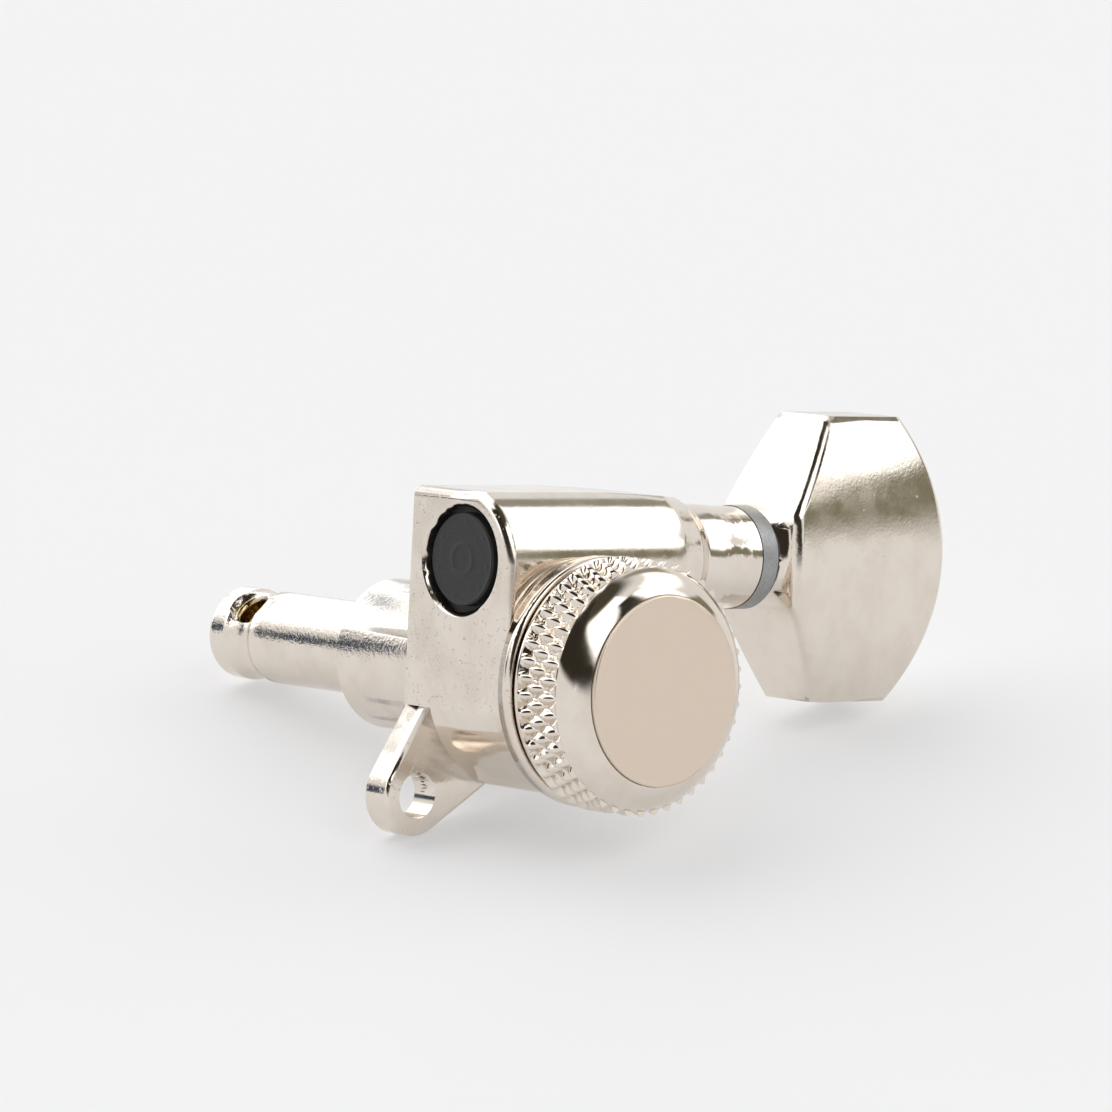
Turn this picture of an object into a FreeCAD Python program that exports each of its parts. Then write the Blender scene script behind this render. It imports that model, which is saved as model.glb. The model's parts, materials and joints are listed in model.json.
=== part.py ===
"""Locking guitar tuning machine, modelled in millimetres as it lies on a table.

The machine's own axes: the string post runs along X with its tip towards -X, the worm
and its button run along +Y, and +Z points from the post to the worm. The origin is on
the post's axis in the plane of the seat, where the housing meets the headstock. At the
end the whole machine is leant over so that +Z is straight up from the table that the
ear, the post's tip and the button rest on.
"""
import FreeCAD, Part
import math
import os

import Sketcher
from FreeCAD import Placement, Rotation, Vector

# Driving sizes in millimetres, angles in degrees and counts.
HOUSING_SIZES = {
    "hub_radius": 4.9,
    "hub_length": 10.3,
    "hub_break": 0.3,
    "barrel_radius": 7.5,
    "barrel_wall": 1.0,
    "floor_wall": 1.2,
    "face_reach": 7.6,
    "face_round": 0.7,
    "block_foot": 2.2,
    "tube_radius": 4.65,
    "tube_top_drop": 0.3,
    "tube_top_fall": 0.2,
    "tube_end": 3.0,
    "shoulder_start": 7.6,
    "shoulder_middle": 9.6,
    "shoulder_middle_radius": 4.1,
    "shoulder_end": 12.9,
    "neck_radius": 3.55,
    "neck_start": 12.2,
    "neck_tip_radius": 3.35,
    "neck_end": 15.6,
    "fade_share": 0.68,
    "ear_distance": 11.1,
    "ear_radius": 2.6,
    "ear_spread": 13.3,
    "ear_thickness": 2.0,
    "ear_turn": -135.0,
    "ear_hole_radius": 1.5,
    "ear_break": 0.25,
}
BORE_SIZES = {
    "sleeve_radius": 3.9,
    "sleeve_lip": 0.6,
    "worm_bore_radius": 3.0,
    "worm_bore_end": 5.5,
    "plug_radius": 3.35,
    "plug_depth": 2.2,
    "plug_length": 2.0,
    "plug_face_radius": 3.02,
    "plug_bevel": 0.3,
    "neck_bore_radius": 2.5,
    "bore_break": 0.3,
}
COVER_SIZES = {
    "cover_radius": 8.0,
    "cover_thickness": 1.0,
    "cover_spigot": 1.0,
    "cover_round": 0.35,
    "cover_bush_radius": 3.3,
}
POST_SIZES = {
    "post_radius": 3.05,
    "post_reach": 25.6,
    "head_length": 1.8,
    "waist_length": 2.6,
    "waist_depth": 0.3,
    "waist_slope": 0.15,
    "tip_round": 0.45,
    "string_hole_radius": 1.1,
    "string_hole_turn": 43.0,
    "gear_seat_radius": 2.75,
    "journal_radius": 2.6,
    "clip_groove_depth": 0.25,
    "clip_thickness": 0.5,
    "clip_width": 1.0,
    "clip_mouth": 1.4,
    "post_flat": 2.3,
}
GEAR_SIZES = {
    "teeth": 18,
    "gear_clearance": 0.5,
    "gear_washer_thickness": 0.9,
    "worm_pitch_radius": 2.0,
    "worm_core_radius": 1.3,
    "worm_thread_share": 0.35,
    "gear_gap_share": 0.6,
    "flank_slope_share": 0.364,
    "thread_turns": 3,
}
WORM_SIZES = {
    "shaft_radius": 1.9,
    "collar_radius": 2.4,
    "collar_length": 1.1,
    "worm_washer_thickness": 0.5,
    "end_bush_length": 1.1,
    "tang_radius": 1.55,
    "tang_flat": 1.15,
    "tang_length": 6.4,
    "grey_washer_thickness": 1.3,
    "grey_washer_radius": 3.4,
    "spring_washer_thickness": 0.3,
    "spring_washer_rise": 0.4,
    "spring_washer_radius": 3.2,
}
BUTTON_SIZES = {
    "button_boss_radius": 3.0,
    "button_boss_length": 0.45,
    "button_half_height": 9.4,
    "button_corner_height": 3.1,
    "button_end_inset": 3.45,
    "button_end_width": 6.8,
    "button_width": 13.6,
    "button_half_middle": 3.95,
    "button_half_end": 2.45,
    "button_bevel": 0.6,
    "button_round": 0.5,
    "screw_radius": 0.9,
    "screw_head_radius": 1.8,
    "screw_head_length": 1.1,
    "screw_sink": 0.4,
    "screw_grip": 4.0,
    "screw_slot": 0.5,
}
LOCK_SIZES = {
    "pin_radius": 0.75,
    "pin_flat": 0.5,
    "pin_clear_of_hole": 0.3,
    "pin_travel": 2.2,
    "guide_length": 2.0,
    "stem_radius": 1.8,
    "stem_length": 4.6,
    "stem_flange_radius": 5.4,
    "stem_flange_thickness": 0.9,
    "lock_stub": 0.35,
}
WHEEL_SIZES = {
    "wheel_gap": 0.3,
    "wheel_washer_radius": 4.6,
    "wheel_washer_gap": 0.05,
    "wheel_rim_radius": 7.85,
    "wheel_rim_width": 0.65,
    "wheel_radius": 8.1,
    "knurl_width": 3.2,
    "knurl_depth": 0.4,
    "knurl_grooves": 44,
    "knurl_slant": 28.0,
    "knurl_flank": 45.0,
    "wheel_shoulder": 1.4,
    "wheel_web": 1.2,
    "wheel_bore_radius": 5.0,
    "disc_radius": 6.05,
    "disc_thickness": 0.8,
    "disc_stand": 0.3,
    "disc_round": 0.12,
}
FIT_SIZES = {
    "running_gap": 0.04,
    "end_gap": 0.05,
    "overrun": 1.0,
}
LYING_ANGLES = {
    "lie_pitch": -11.13,
    "lie_roll": -13.67,
}

doc = FreeCAD.newDocument("tuning_machine")
sheet = doc.addObject("Spreadsheet::Sheet", "Sizes")


class Size:
    """A size as the sheet's expression and as the number that it has now."""

    def __init__(self, text, value):
        self.text = text
        self.value = value

    @staticmethod
    def of(thing):
        return thing if isinstance(thing, Size) else Size(str(thing), float(thing))

    def __add__(self, other):
        other = Size.of(other)
        return Size(f"({self.text} + {other.text})", self.value + other.value)

    def __sub__(self, other):
        other = Size.of(other)
        return Size(f"({self.text} - {other.text})", self.value - other.value)

    def __mul__(self, other):
        other = Size.of(other)
        return Size(f"({self.text} * {other.text})", self.value * other.value)

    def __truediv__(self, other):
        other = Size.of(other)
        return Size(f"({self.text} / {other.text})", self.value / other.value)

    def __neg__(self):
        return Size(f"(-{self.text})", -self.value)

    __radd__ = __add__
    __rmul__ = __mul__


ZERO = Size("0", 0.0)


def fill_sheet(*groups):
    """Write each driving size on a row of the sheet and return them by name."""
    found = {}
    row = 0
    for group in groups:
        for name, value in group.items():
            row += 1
            sheet.set(f"A{row}", name.replace("_", " "))
            sheet.set(f"B{row}", str(value))
            sheet.setAlias(f"B{row}", name)
            found[name] = Size(f"Sizes.{name}", float(value))
    doc.recompute()
    return found


S = fill_sheet(HOUSING_SIZES, BORE_SIZES, COVER_SIZES, POST_SIZES, GEAR_SIZES, WORM_SIZES,
               BUTTON_SIZES, LOCK_SIZES, WHEEL_SIZES, FIT_SIZES, LYING_ANGLES)

# The gear fills its chamber but for a clearance, which gives the teeth their module. The
# worm's axis stands off the post's by the two pitch radii, and as far behind the seat as
# the tube's radius, so that the tube's flat foot lies in the seat's plane.
chamber_radius = S["barrel_radius"] - S["barrel_wall"]
tooth_module = (chamber_radius - S["gear_clearance"]) / (S["teeth"] / 2 + 1)
tooth_pitch = tooth_module * math.pi
worm_height = tooth_module * S["teeth"] / 2 + S["worm_pitch_radius"]
worm_back = S["tube_radius"]
barrel_depth = S["tube_radius"] * 2
cover_back = barrel_depth + S["cover_thickness"]
cover_front = barrel_depth - S["cover_spigot"]

# Stations on the post's axis, from the tip to the wheel's face.
waist_front = S["post_reach"] - S["head_length"]
waist_back = waist_front - S["waist_length"]
waist_middle = waist_front - S["waist_length"] / 2
gear_washer_back = S["floor_wall"] + S["gear_washer_thickness"]
gear_front = gear_washer_back + S["end_gap"]
gear_width = (worm_back - gear_front) * 2
gear_back = gear_front + gear_width
gear_clip_back = gear_back + S["clip_thickness"]
wheel_front = cover_back + S["wheel_gap"]
wheel_clip_front = wheel_front + S["wheel_web"] + S["end_gap"]
wheel_clip_back = wheel_clip_front + S["clip_thickness"]
post_back = wheel_clip_back + S["end_gap"] * 4
knurl_front = wheel_front + S["wheel_rim_width"]
knurl_back = knurl_front + S["knurl_width"]
wheel_back = knurl_back + S["wheel_shoulder"]
disc_back = wheel_back + S["disc_stand"]
disc_front = disc_back - S["disc_thickness"]
flange_front = post_back + S["end_gap"] * 4
flange_back = flange_front + S["stem_flange_thickness"]
stem_front = flange_front - S["stem_length"]
guide_back = stem_front - S["end_gap"] * 2
guide_front = guide_back - S["guide_length"]
pin_tip = waist_middle - S["string_hole_radius"] - S["pin_clear_of_hole"]
pin_back = flange_back + S["lock_stub"]
bore_end = pin_tip + S["pin_travel"] + S["end_gap"]

# Stations on the worm's axis, from the end face to the button's screw.
face = S["face_reach"]
plug_back = face - S["plug_depth"]
bush_back = plug_back - S["end_bush_length"]
collar_end = S["worm_bore_end"] - S["worm_washer_thickness"] - S["end_gap"]
collar_start = collar_end - S["collar_length"]
grey_start = S["neck_end"] + S["end_gap"]
grey_end = grey_start + S["grey_washer_thickness"]
spring_end = grey_end + S["spring_washer_thickness"] + S["spring_washer_rise"]
button_start = spring_end
button_inner = button_start + S["button_boss_length"]
button_outer = button_inner + S["button_width"]
tang_end = button_start + S["tang_length"]
screw_seat = button_outer - S["screw_sink"] - S["screw_head_length"]

# The lying pose turns about the origin: first about X, then about Y.
LYING = Placement(Vector(), Rotation(0, LYING_ANGLES["lie_pitch"], LYING_ANGLES["lie_roll"]))
WORM_LINE = Placement(Vector(worm_back.value, 0, worm_height.value), Rotation())


def new_body(label):
    """Start a sub-part: a PartDesign body that carries the sub-part's name."""
    made = doc.addObject("PartDesign::Body", label)
    made.Label = label
    return made


def origin_item(body, role):
    """Find one of a body's own planes or axes."""
    return next(item for item in body.Origin.OriginFeatures if item.Role == role)


def bind(item, path, size):
    """Bind a property or a sketch constraint to the sheet."""
    item.setExpression(path, Size.of(size).text)


def sketch_on(body, name, role, shift=ZERO, turn=None):
    """Attach a sketch to one of the body's planes, shifted along the plane's normal.

    A turn is an axis and a Size: the sketch is turned about that axis of its own.
    """
    sketch = body.newObject("Sketcher::SketchObject", name)
    sketch.AttachmentSupport = [(origin_item(body, role), "")]
    sketch.MapMode = "FlatFace"
    turned_by = Rotation()
    if turn:
        turned_by = Rotation(turn[0], turn[1].value)
    sketch.AttachmentOffset = Placement(Vector(0, 0, shift.value), turned_by)
    if shift is not ZERO:
        bind(sketch, "AttachmentOffset.Base.z", shift)
    if turn:
        bind(sketch, "AttachmentOffset.Rotation.Angle", turn[1])
    return sketch


def fix_point(sketch, geometry, end, place):
    """Hold a point of the sketch at a place that is given by two sizes."""
    for kind, size in zip(("DistanceX", "DistanceY"), place):
        size = Size.of(size)
        index = sketch.addConstraint(Sketcher.Constraint(kind, -1, 1, geometry, end, size.value))
        bind(sketch, f"Constraints[{index}]", size)


def add_loop(sketch, corners, arcs=None):
    """Draw a closed loop of lines through the corners.

    Args:
        corners: pairs of sizes, in order round the loop.
        arcs: for the index of a side, the centre of the arc that replaces its line,
            drawn anticlockwise from the side's start to its end where the third item is
            1, and clockwise where it is -1.
    """
    arcs = arcs or {}
    places = [(Size.of(x), Size.of(y)) for x, y in corners]
    first = sketch.GeometryCount
    count = len(places)
    for side in range(count):
        start = Vector(places[side][0].value, places[side][1].value, 0)
        stop = Vector(places[(side + 1) % count][0].value, places[(side + 1) % count][1].value, 0)
        if side in arcs:
            sketch.addGeometry(arc_between(start, stop, arcs[side]), False)
        else:
            sketch.addGeometry(Part.LineSegment(start, stop), False)
    for side in range(count):
        after = (side + 1) % count
        sketch.addConstraint(Sketcher.Constraint(
            "Coincident", first + side, end_point(arcs, side, last=True),
            first + after, end_point(arcs, after, last=False)))
    for side, place in enumerate(places):
        fix_point(sketch, first + side, end_point(arcs, side, last=False), place)
    for side, (across, _, _) in arcs.items():
        index = sketch.addConstraint(
            Sketcher.Constraint("DistanceX", -1, 1, first + side, 3, across.value))
        bind(sketch, f"Constraints[{index}]", across)
    return sketch


def end_point(arcs, side, last):
    """Number of a side's start or end: an arc drawn clockwise keeps its ends swapped."""
    backwards = side in arcs and arcs[side][2] < 0
    return (1 if backwards else 2) if last else (2 if backwards else 1)


def arc_between(start, stop, spec):
    """Arc of a circle about the given centre, from start to stop."""
    centre = Vector(spec[0].value, spec[1].value, 0)
    radius = (start - centre).Length
    first = math.atan2(start.y - centre.y, start.x - centre.x)
    second = math.atan2(stop.y - centre.y, stop.x - centre.x)
    if spec[2] < 0:
        first, second = second, first
    return Part.ArcOfCircle(Part.Circle(centre, Vector(0, 0, 1), radius), first, second)


def add_circle(sketch, centre, radius):
    """Draw a circle about a place, with its radius bound."""
    place = Vector(Size.of(centre[0]).value, Size.of(centre[1]).value, 0)
    index = sketch.addGeometry(Part.Circle(place, Vector(0, 0, 1), radius.value), False)
    fix_point(sketch, index, 3, centre)
    bound = sketch.addConstraint(Sketcher.Constraint("Radius", index, radius.value))
    bind(sketch, f"Constraints[{bound}]", radius)
    return sketch


def turned(body, name, corners, axis="H_Axis", cut=False, arcs=None):
    """Turn a closed profile about the post's line (H_Axis) or the worm's (V_Axis)."""
    sketch = add_loop(sketch_on(body, name + "_profile", "XY_Plane"), corners, arcs)
    kind = "PartDesign::Groove" if cut else "PartDesign::Revolution"
    before = body.Shape.Volume if cut else 0
    made = body.newObject(kind, name)
    made.Profile = sketch
    made.ReferenceAxis = (sketch, [axis])
    made.Angle = 360
    doc.recompute()
    if cut and body.Shape.Volume >= before:
        raise RuntimeError(f"{name} cuts nothing")
    return made


def padded(body, name, sketch, length, reverse=False):
    """Give a sketch's shape a thickness, along its normal or against it."""
    made = body.newObject("PartDesign::Pad", name)
    made.Profile = sketch
    bind(made, "Length", length)
    made.Reversed = reverse
    doc.recompute()
    return made


def cut_through(body, name, sketch):
    """Cut a sketch's shape through the whole body, both ways."""
    before = body.Shape.Volume
    made = body.newObject("PartDesign::Pocket", name)
    made.Profile = sketch
    made.Type = "ThroughAll"
    made.Midplane = True
    doc.recompute()
    if body.Shape.Volume >= before:
        raise RuntimeError(f"{name} cuts nothing")
    return made


def edges_where(shape, wanted):
    """Names of the edges whose middle point, in the body's own axes, is wanted."""
    names = []
    for number, edge in enumerate(shape.Edges, start=1):
        low, high = edge.ParameterRange
        if wanted(edge, edge.valueAt((low + high) / 2)):
            names.append(f"Edge{number}")
    return names


def softened(body, kind, name, size, wanted):
    """Round or bevel the edges of the body's last feature that are wanted."""
    base = body.Tip
    names = edges_where(base.Shape, wanted)
    if not names:
        raise RuntimeError(f"{name} finds no edge")
    made = body.newObject(f"PartDesign::{kind}", name)
    made.Base = (base, names)
    bind(made, "Radius" if kind == "Fillet" else "Size", size)
    doc.recompute()
    if not made.Shape.Solids:
        raise RuntimeError(f"{name} fails")
    return made


def near(first, second):
    """Tell whether two numbers are the same but for rounding."""
    return abs(first - second) < S["end_gap"].value / 5


def sine_of(angle):
    """Sine of a size that is an angle in degrees."""
    return Size(f"sin({angle.text} * 1 deg)", math.sin(math.radians(angle.value)))


def cosine_of(angle):
    """Cosine of a size that is an angle in degrees."""
    return Size(f"cos({angle.text} * 1 deg)", math.cos(math.radians(angle.value)))


def half_chord(radius, offset):
    """Half of a circle's chord at an offset from its centre."""
    inside = radius * radius - offset * offset
    return Size(f"sqrt({inside.text})", math.sqrt(inside.value))


def ring(label, inner, outer, front, back, axis="H_Axis"):
    """Plain washer, bush or sleeve round one of the two lines."""
    made = new_body(label)
    if axis == "H_Axis":
        corners = [(front, inner), (front, outer), (back, outer), (back, inner)]
    else:
        corners = [(inner, front), (outer, front), (outer, back), (inner, back)]
    turned(made, label + "_turned", corners, axis)
    return made


def clip(label, groove_radius, front):
    """Open spring clip in a groove of the post."""
    made = ring(label, groove_radius, groove_radius + S["clip_width"],
                front, front + S["clip_thickness"])
    mouth = sketch_on(made, label + "_mouth_outline", "YZ_Plane", front)
    half = S["clip_mouth"] / 2
    far = groove_radius + S["clip_width"] + S["overrun"]
    add_loop(mouth, [(-half, ZERO), (half, ZERO), (half, far), (-half, far)])
    cut_through(made, label + "_mouth", mouth)
    return made


def flatted_loop(sketch, radius, flat):
    """Draw a circle about the sketch's origin with one flat, at a distance from it."""
    half = half_chord(radius, flat)
    return add_loop(sketch, [(flat, half), (flat, -half)], {0: (ZERO, ZERO, 1)})


def tube_section(body, name, station, radius, height, foot):
    """D-shaped section of the worm's tube, flat on top and towards the headstock.

    Args:
        body: the housing.
        name: the section's name.
        station: how far the section stands along the worm's axis.
        radius: radius of its round side and depth of its underside.
        height: how far its flat top stands above the worm's axis.
        foot: how far its flat foot stands from the worm's axis.
    """
    left = worm_back - foot
    top = worm_height + height
    bottom = worm_height - radius
    corners = [(worm_back, bottom), (worm_back + half_chord(radius, height), top),
               (left, top), (left, bottom)]
    return add_loop(sketch_on(body, name, "XZ_Plane", -station), corners,
                    {0: (worm_back, worm_height, 1)})


def on_worm_line(body, name):
    """Attach a sketch whose origin lies on the worm's axis."""
    sketch = body.newObject("Sketcher::SketchObject", name)
    sketch.AttachmentSupport = [(origin_item(body, "XY_Plane"), "")]
    sketch.MapMode = "FlatFace"
    sketch.AttachmentOffset = WORM_LINE
    bind(sketch, "AttachmentOffset.Base.x", worm_back)
    bind(sketch, "AttachmentOffset.Base.z", worm_height)
    return sketch


def make_housing():
    """Cast housing: hub, gear barrel, worm tube with its neck, and the screw ear."""
    body = new_body("housing")
    round_rim = S["face_round"]
    radius = S["tube_radius"]
    height = radius - S["tube_top_drop"]

    # The ear's web lies on the seat, turned about the post, and its sides touch the round
    # of the lug. Its rear edges are broken.
    ear = sketch_on(body, "ear_outline", "YZ_Plane", ZERO, (Vector(0, 0, 1), S["ear_turn"]))
    sine, cosine = sine_of(S["ear_spread"]), cosine_of(S["ear_spread"])
    root = (S["ear_radius"] + S["ear_distance"] * sine) / cosine
    touch = S["ear_distance"] + S["ear_radius"] * sine
    half_touch = S["ear_radius"] * cosine
    add_loop(ear, [(ZERO, -root), (ZERO, root), (touch, half_touch), (touch, -half_touch)],
             {2: (S["ear_distance"], ZERO, -1)})
    padded(body, "ear", ear, S["ear_thickness"])
    softened(body, "Fillet", "ear_break", S["ear_break"],
             lambda edge, middle: near(middle.x, S["ear_thickness"].value)
             and math.hypot(middle.y, middle.z) > S["ear_radius"].value)

    # The end block reaches from the flat end face to the post, with its rim rounded on
    # top and behind.
    top = worm_height + height
    block = sketch_on(body, "end_block_outline", "XZ_Plane")
    add_loop(block, [(ZERO, -S["block_foot"]), (barrel_depth, -S["block_foot"]),
                     (barrel_depth, worm_height), (worm_back + half_chord(radius, height), top),
                     (ZERO, top)], {2: (worm_back, worm_height, 1)})
    padded(body, "end_block", block, face)
    softened(body, "Fillet", "end_face_round", round_rim,
             lambda edge, middle: near(middle.y, -face.value)
             and middle.x > S["end_gap"].value and middle.z > -S["block_foot"].value / 2)

    hub_break = S["hub_break"]
    turned(body, "hub_and_barrel", [
        (-S["hub_length"], ZERO),
        (-S["hub_length"], S["hub_radius"] - hub_break),
        (-S["hub_length"] + hub_break, S["hub_radius"]),
        (ZERO, S["hub_radius"]),
        (ZERO, S["barrel_radius"]),
        (barrel_depth - round_rim, S["barrel_radius"]),
        (barrel_depth, S["barrel_radius"] - round_rim),
        (barrel_depth, ZERO)],
        arcs={5: (barrel_depth - round_rim, S["barrel_radius"] - round_rim, -1)})

    # The D-shaped worm tube from the block: its top falls towards the button, and its end
    # rounds off to the neck.
    padded(body, "worm_tube", tube_section(body, "tube_section", S["tube_end"], radius, height, radius),
           S["tube_end"] * 2)
    low = height - S["tube_top_fall"]
    middle_radius = S["shoulder_middle_radius"]
    faded = S["neck_radius"] * S["fade_share"]
    stretches = (
        ("tube_start", S["tube_end"], radius, height, radius),
        ("shoulder_start", S["shoulder_start"], radius, low, radius),
        ("shoulder_middle", S["shoulder_middle"], middle_radius, low - S["tube_top_fall"], radius),
        ("shoulder_end", S["shoulder_end"], faded, faded, faded),
    )
    for first, last in zip(stretches[:-1], stretches[1:]):
        stretch = body.newObject("PartDesign::AdditiveLoft", first[0] + "_stretch")
        near_end = tube_section(body, first[0] + "_near_section", *first[1:])
        far_end = tube_section(body, first[0] + "_far_section", *last[1:])
        stretch.Profile = near_end
        stretch.Sections = [far_end]
        stretch.Ruled = True
        doc.recompute()

    # The neck is turned about the worm's axis.
    neck = on_worm_line(body, "neck_profile")
    add_loop(neck, [(ZERO, S["tube_end"]), (S["neck_radius"], S["shoulder_start"]),
                    (S["neck_radius"], S["neck_start"]), (S["neck_tip_radius"], S["neck_end"]),
                    (ZERO, S["neck_end"])])
    turned_neck = body.newObject("PartDesign::Revolution", "neck")
    turned_neck.Profile = neck
    turned_neck.ReferenceAxis = (neck, ["V_Axis"])
    turned_neck.Angle = 360
    doc.recompute()

    # Hollow for the post, its sleeve and the gear.
    over = S["overrun"]
    turned(body, "post_hollow", [
        (-S["hub_length"] - over, ZERO),
        (-S["hub_length"] - over, S["sleeve_radius"]),
        (-S["sleeve_lip"], S["sleeve_radius"]),
        (-S["sleeve_lip"], S["post_radius"] + S["running_gap"] * 4),
        (S["floor_wall"], S["post_radius"] + S["running_gap"] * 4),
        (S["floor_wall"], chamber_radius),
        (barrel_depth + over, chamber_radius),
        (barrel_depth + over, ZERO)], cut=True)

    # Stepped bore for the worm, open at the end face and at the neck's tip.
    bore = on_worm_line(body, "worm_bore_profile")
    mouth = S["plug_radius"] + S["bore_break"]
    add_loop(bore, [(ZERO, -face - over), (mouth + over, -face - over), (mouth, -face),
                    (S["plug_radius"], -face + S["bore_break"]),
                    (S["plug_radius"], -plug_back),
                    (S["worm_bore_radius"], -plug_back), (S["worm_bore_radius"], S["worm_bore_end"]),
                    (S["neck_bore_radius"], S["worm_bore_end"]),
                    (S["neck_bore_radius"], S["neck_end"] + over), (ZERO, S["neck_end"] + over)])
    before = body.Shape.Volume
    worm_bore = body.newObject("PartDesign::Groove", "worm_bore")
    worm_bore.Profile = bore
    worm_bore.ReferenceAxis = (bore, ["V_Axis"])
    worm_bore.Angle = 360
    doc.recompute()
    if body.Shape.Volume >= before:
        raise RuntimeError("the worm bore cuts nothing")

    hole = sketch_on(body, "ear_hole_outline", "YZ_Plane", ZERO, (Vector(0, 0, 1), S["ear_turn"]))
    add_circle(hole, (S["ear_distance"], ZERO), S["ear_hole_radius"])
    cut_through(body, "ear_hole", hole)
    return body


def make_cover():
    """Rear cover: closes the gear chamber and carries the post's rear bush."""
    body = new_body("rear_cover")
    hole = S["cover_bush_radius"]
    turned(body, "cover_turned", [
        (cover_front, hole), (cover_front, chamber_radius), (barrel_depth, chamber_radius),
        (barrel_depth, S["cover_radius"]), (cover_back, S["cover_radius"]), (cover_back, hole)])
    outer = S["cover_radius"].value
    softened(body, "Fillet", "cover_round", S["cover_round"],
             lambda edge, middle: near(math.hypot(middle.y, middle.z), outer)
             and near(middle.x, cover_back.value))
    return body


def make_plug():
    """Black end cap pressed in the mouth of the worm's bore, with a bevelled rim."""
    body = new_body("end_plug")
    front = -plug_back - S["plug_length"]
    turned(body, "plug_turned", [
        (ZERO, front), (S["plug_face_radius"], front),
        (S["plug_radius"], front + S["plug_bevel"]), (S["plug_radius"], -plug_back),
        (ZERO, -plug_back)], "V_Axis")
    return body


def make_string_post():
    """String post: head, waist with the string hole, gear seat, journals and hollow."""
    body = new_body("string_post")
    radius = S["post_radius"]
    waist = radius - S["waist_depth"]
    seat = S["gear_seat_radius"]
    journal = S["journal_radius"]
    groove = journal - S["clip_groove_depth"]
    slope = S["waist_slope"]
    turned(body, "post_turned", [
        (-S["post_reach"], ZERO), (-S["post_reach"], radius), (-waist_front, radius),
        (-waist_front + slope, waist), (-waist_back - slope, waist), (-waist_back, radius),
        (gear_front, radius), (gear_front, seat), (gear_back, seat),
        (gear_back, groove), (gear_clip_back, groove), (gear_clip_back, journal),
        (wheel_clip_front, journal), (wheel_clip_front, groove),
        (wheel_clip_back, groove), (wheel_clip_back, journal),
        (post_back, journal), (post_back, ZERO)])
    pin_bore = S["pin_radius"] + S["running_gap"]
    stem_bore = S["stem_radius"] + S["running_gap"]
    turned(body, "post_bore", [
        (-bore_end, ZERO), (-bore_end, pin_bore), (guide_front, pin_bore),
        (guide_front, stem_bore), (post_back + S["overrun"], stem_bore),
        (post_back + S["overrun"], ZERO)], cut=True)
    hole = sketch_on(body, "string_hole_outline", "XY_Plane", ZERO,
                     (Vector(1, 0, 0), S["string_hole_turn"]))
    add_circle(hole, (-waist_middle, ZERO), S["string_hole_radius"])
    cut_through(body, "string_hole", hole)
    flat = sketch_on(body, "gear_flat_outline", "YZ_Plane", gear_front)
    add_loop(flat, [(S["post_flat"], -radius), (radius + S["overrun"], -radius),
                    (radius + S["overrun"], radius), (S["post_flat"], radius)])
    before = body.Shape.Volume
    pocket = body.newObject("PartDesign::Pocket", "gear_flat")
    pocket.Profile = flat
    bind(pocket, "Length", gear_width)
    pocket.Reversed = True
    doc.recompute()
    if body.Shape.Volume >= before:
        raise RuntimeError("the gear flat cuts nothing")
    softened(body, "Fillet", "tip_round", S["tip_round"],
             lambda edge, middle: near(middle.x, -S["post_reach"].value))
    return body


def make_gear():
    """Worm wheel: twisted tooth gaps cut in a blank that has a flat in its bore."""
    body = new_body("worm_wheel")
    pitch_radius = tooth_module * S["teeth"] / 2
    outer = pitch_radius + tooth_module
    turned(body, "gear_blank", [(gear_front, ZERO), (gear_front, outer),
                                (gear_back, outer), (gear_back, ZERO)])
    bore = sketch_on(body, "gear_bore_outline", "YZ_Plane", gear_front)
    flatted_loop(bore, S["gear_seat_radius"], S["post_flat"])
    cut_through(body, "gear_bore", bore)

    # Lead of the worm over its pitch circle gives the slant of the teeth.
    slant = tooth_pitch / (S["worm_pitch_radius"] * 2 * math.pi)
    half_twist = slant * gear_width / 2 / pitch_radius * 180 / math.pi
    root = tooth_module * 1.25
    flank = S["flank_slope_share"]
    half_gap = tooth_pitch * S["gear_gap_share"] / 2
    low = pitch_radius - root
    high = outer + S["end_gap"] * 4
    half_low = half_gap - root * flank
    half_high = half_gap + (high - pitch_radius) * flank
    sections = []
    for name, station, twist in (("front", gear_front, -half_twist), ("back", gear_back, half_twist)):
        gap = sketch_on(body, f"tooth_gap_{name}", "YZ_Plane", station, (Vector(0, 0, 1), twist))
        add_loop(gap, [(-half_low, low), (half_low, low), (half_high, high), (-half_high, high)])
        sections.append(gap)
    doc.recompute()
    before = body.Shape.Volume
    cut = body.newObject("PartDesign::SubtractiveLoft", "tooth_gap")
    cut.Profile = sections[0]
    cut.Sections = [sections[1]]
    doc.recompute()
    if body.Shape.Volume >= before:
        raise RuntimeError("the tooth gap cuts nothing")
    pattern_round(body, "tooth_gaps", cut, S["teeth"])
    return body


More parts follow.
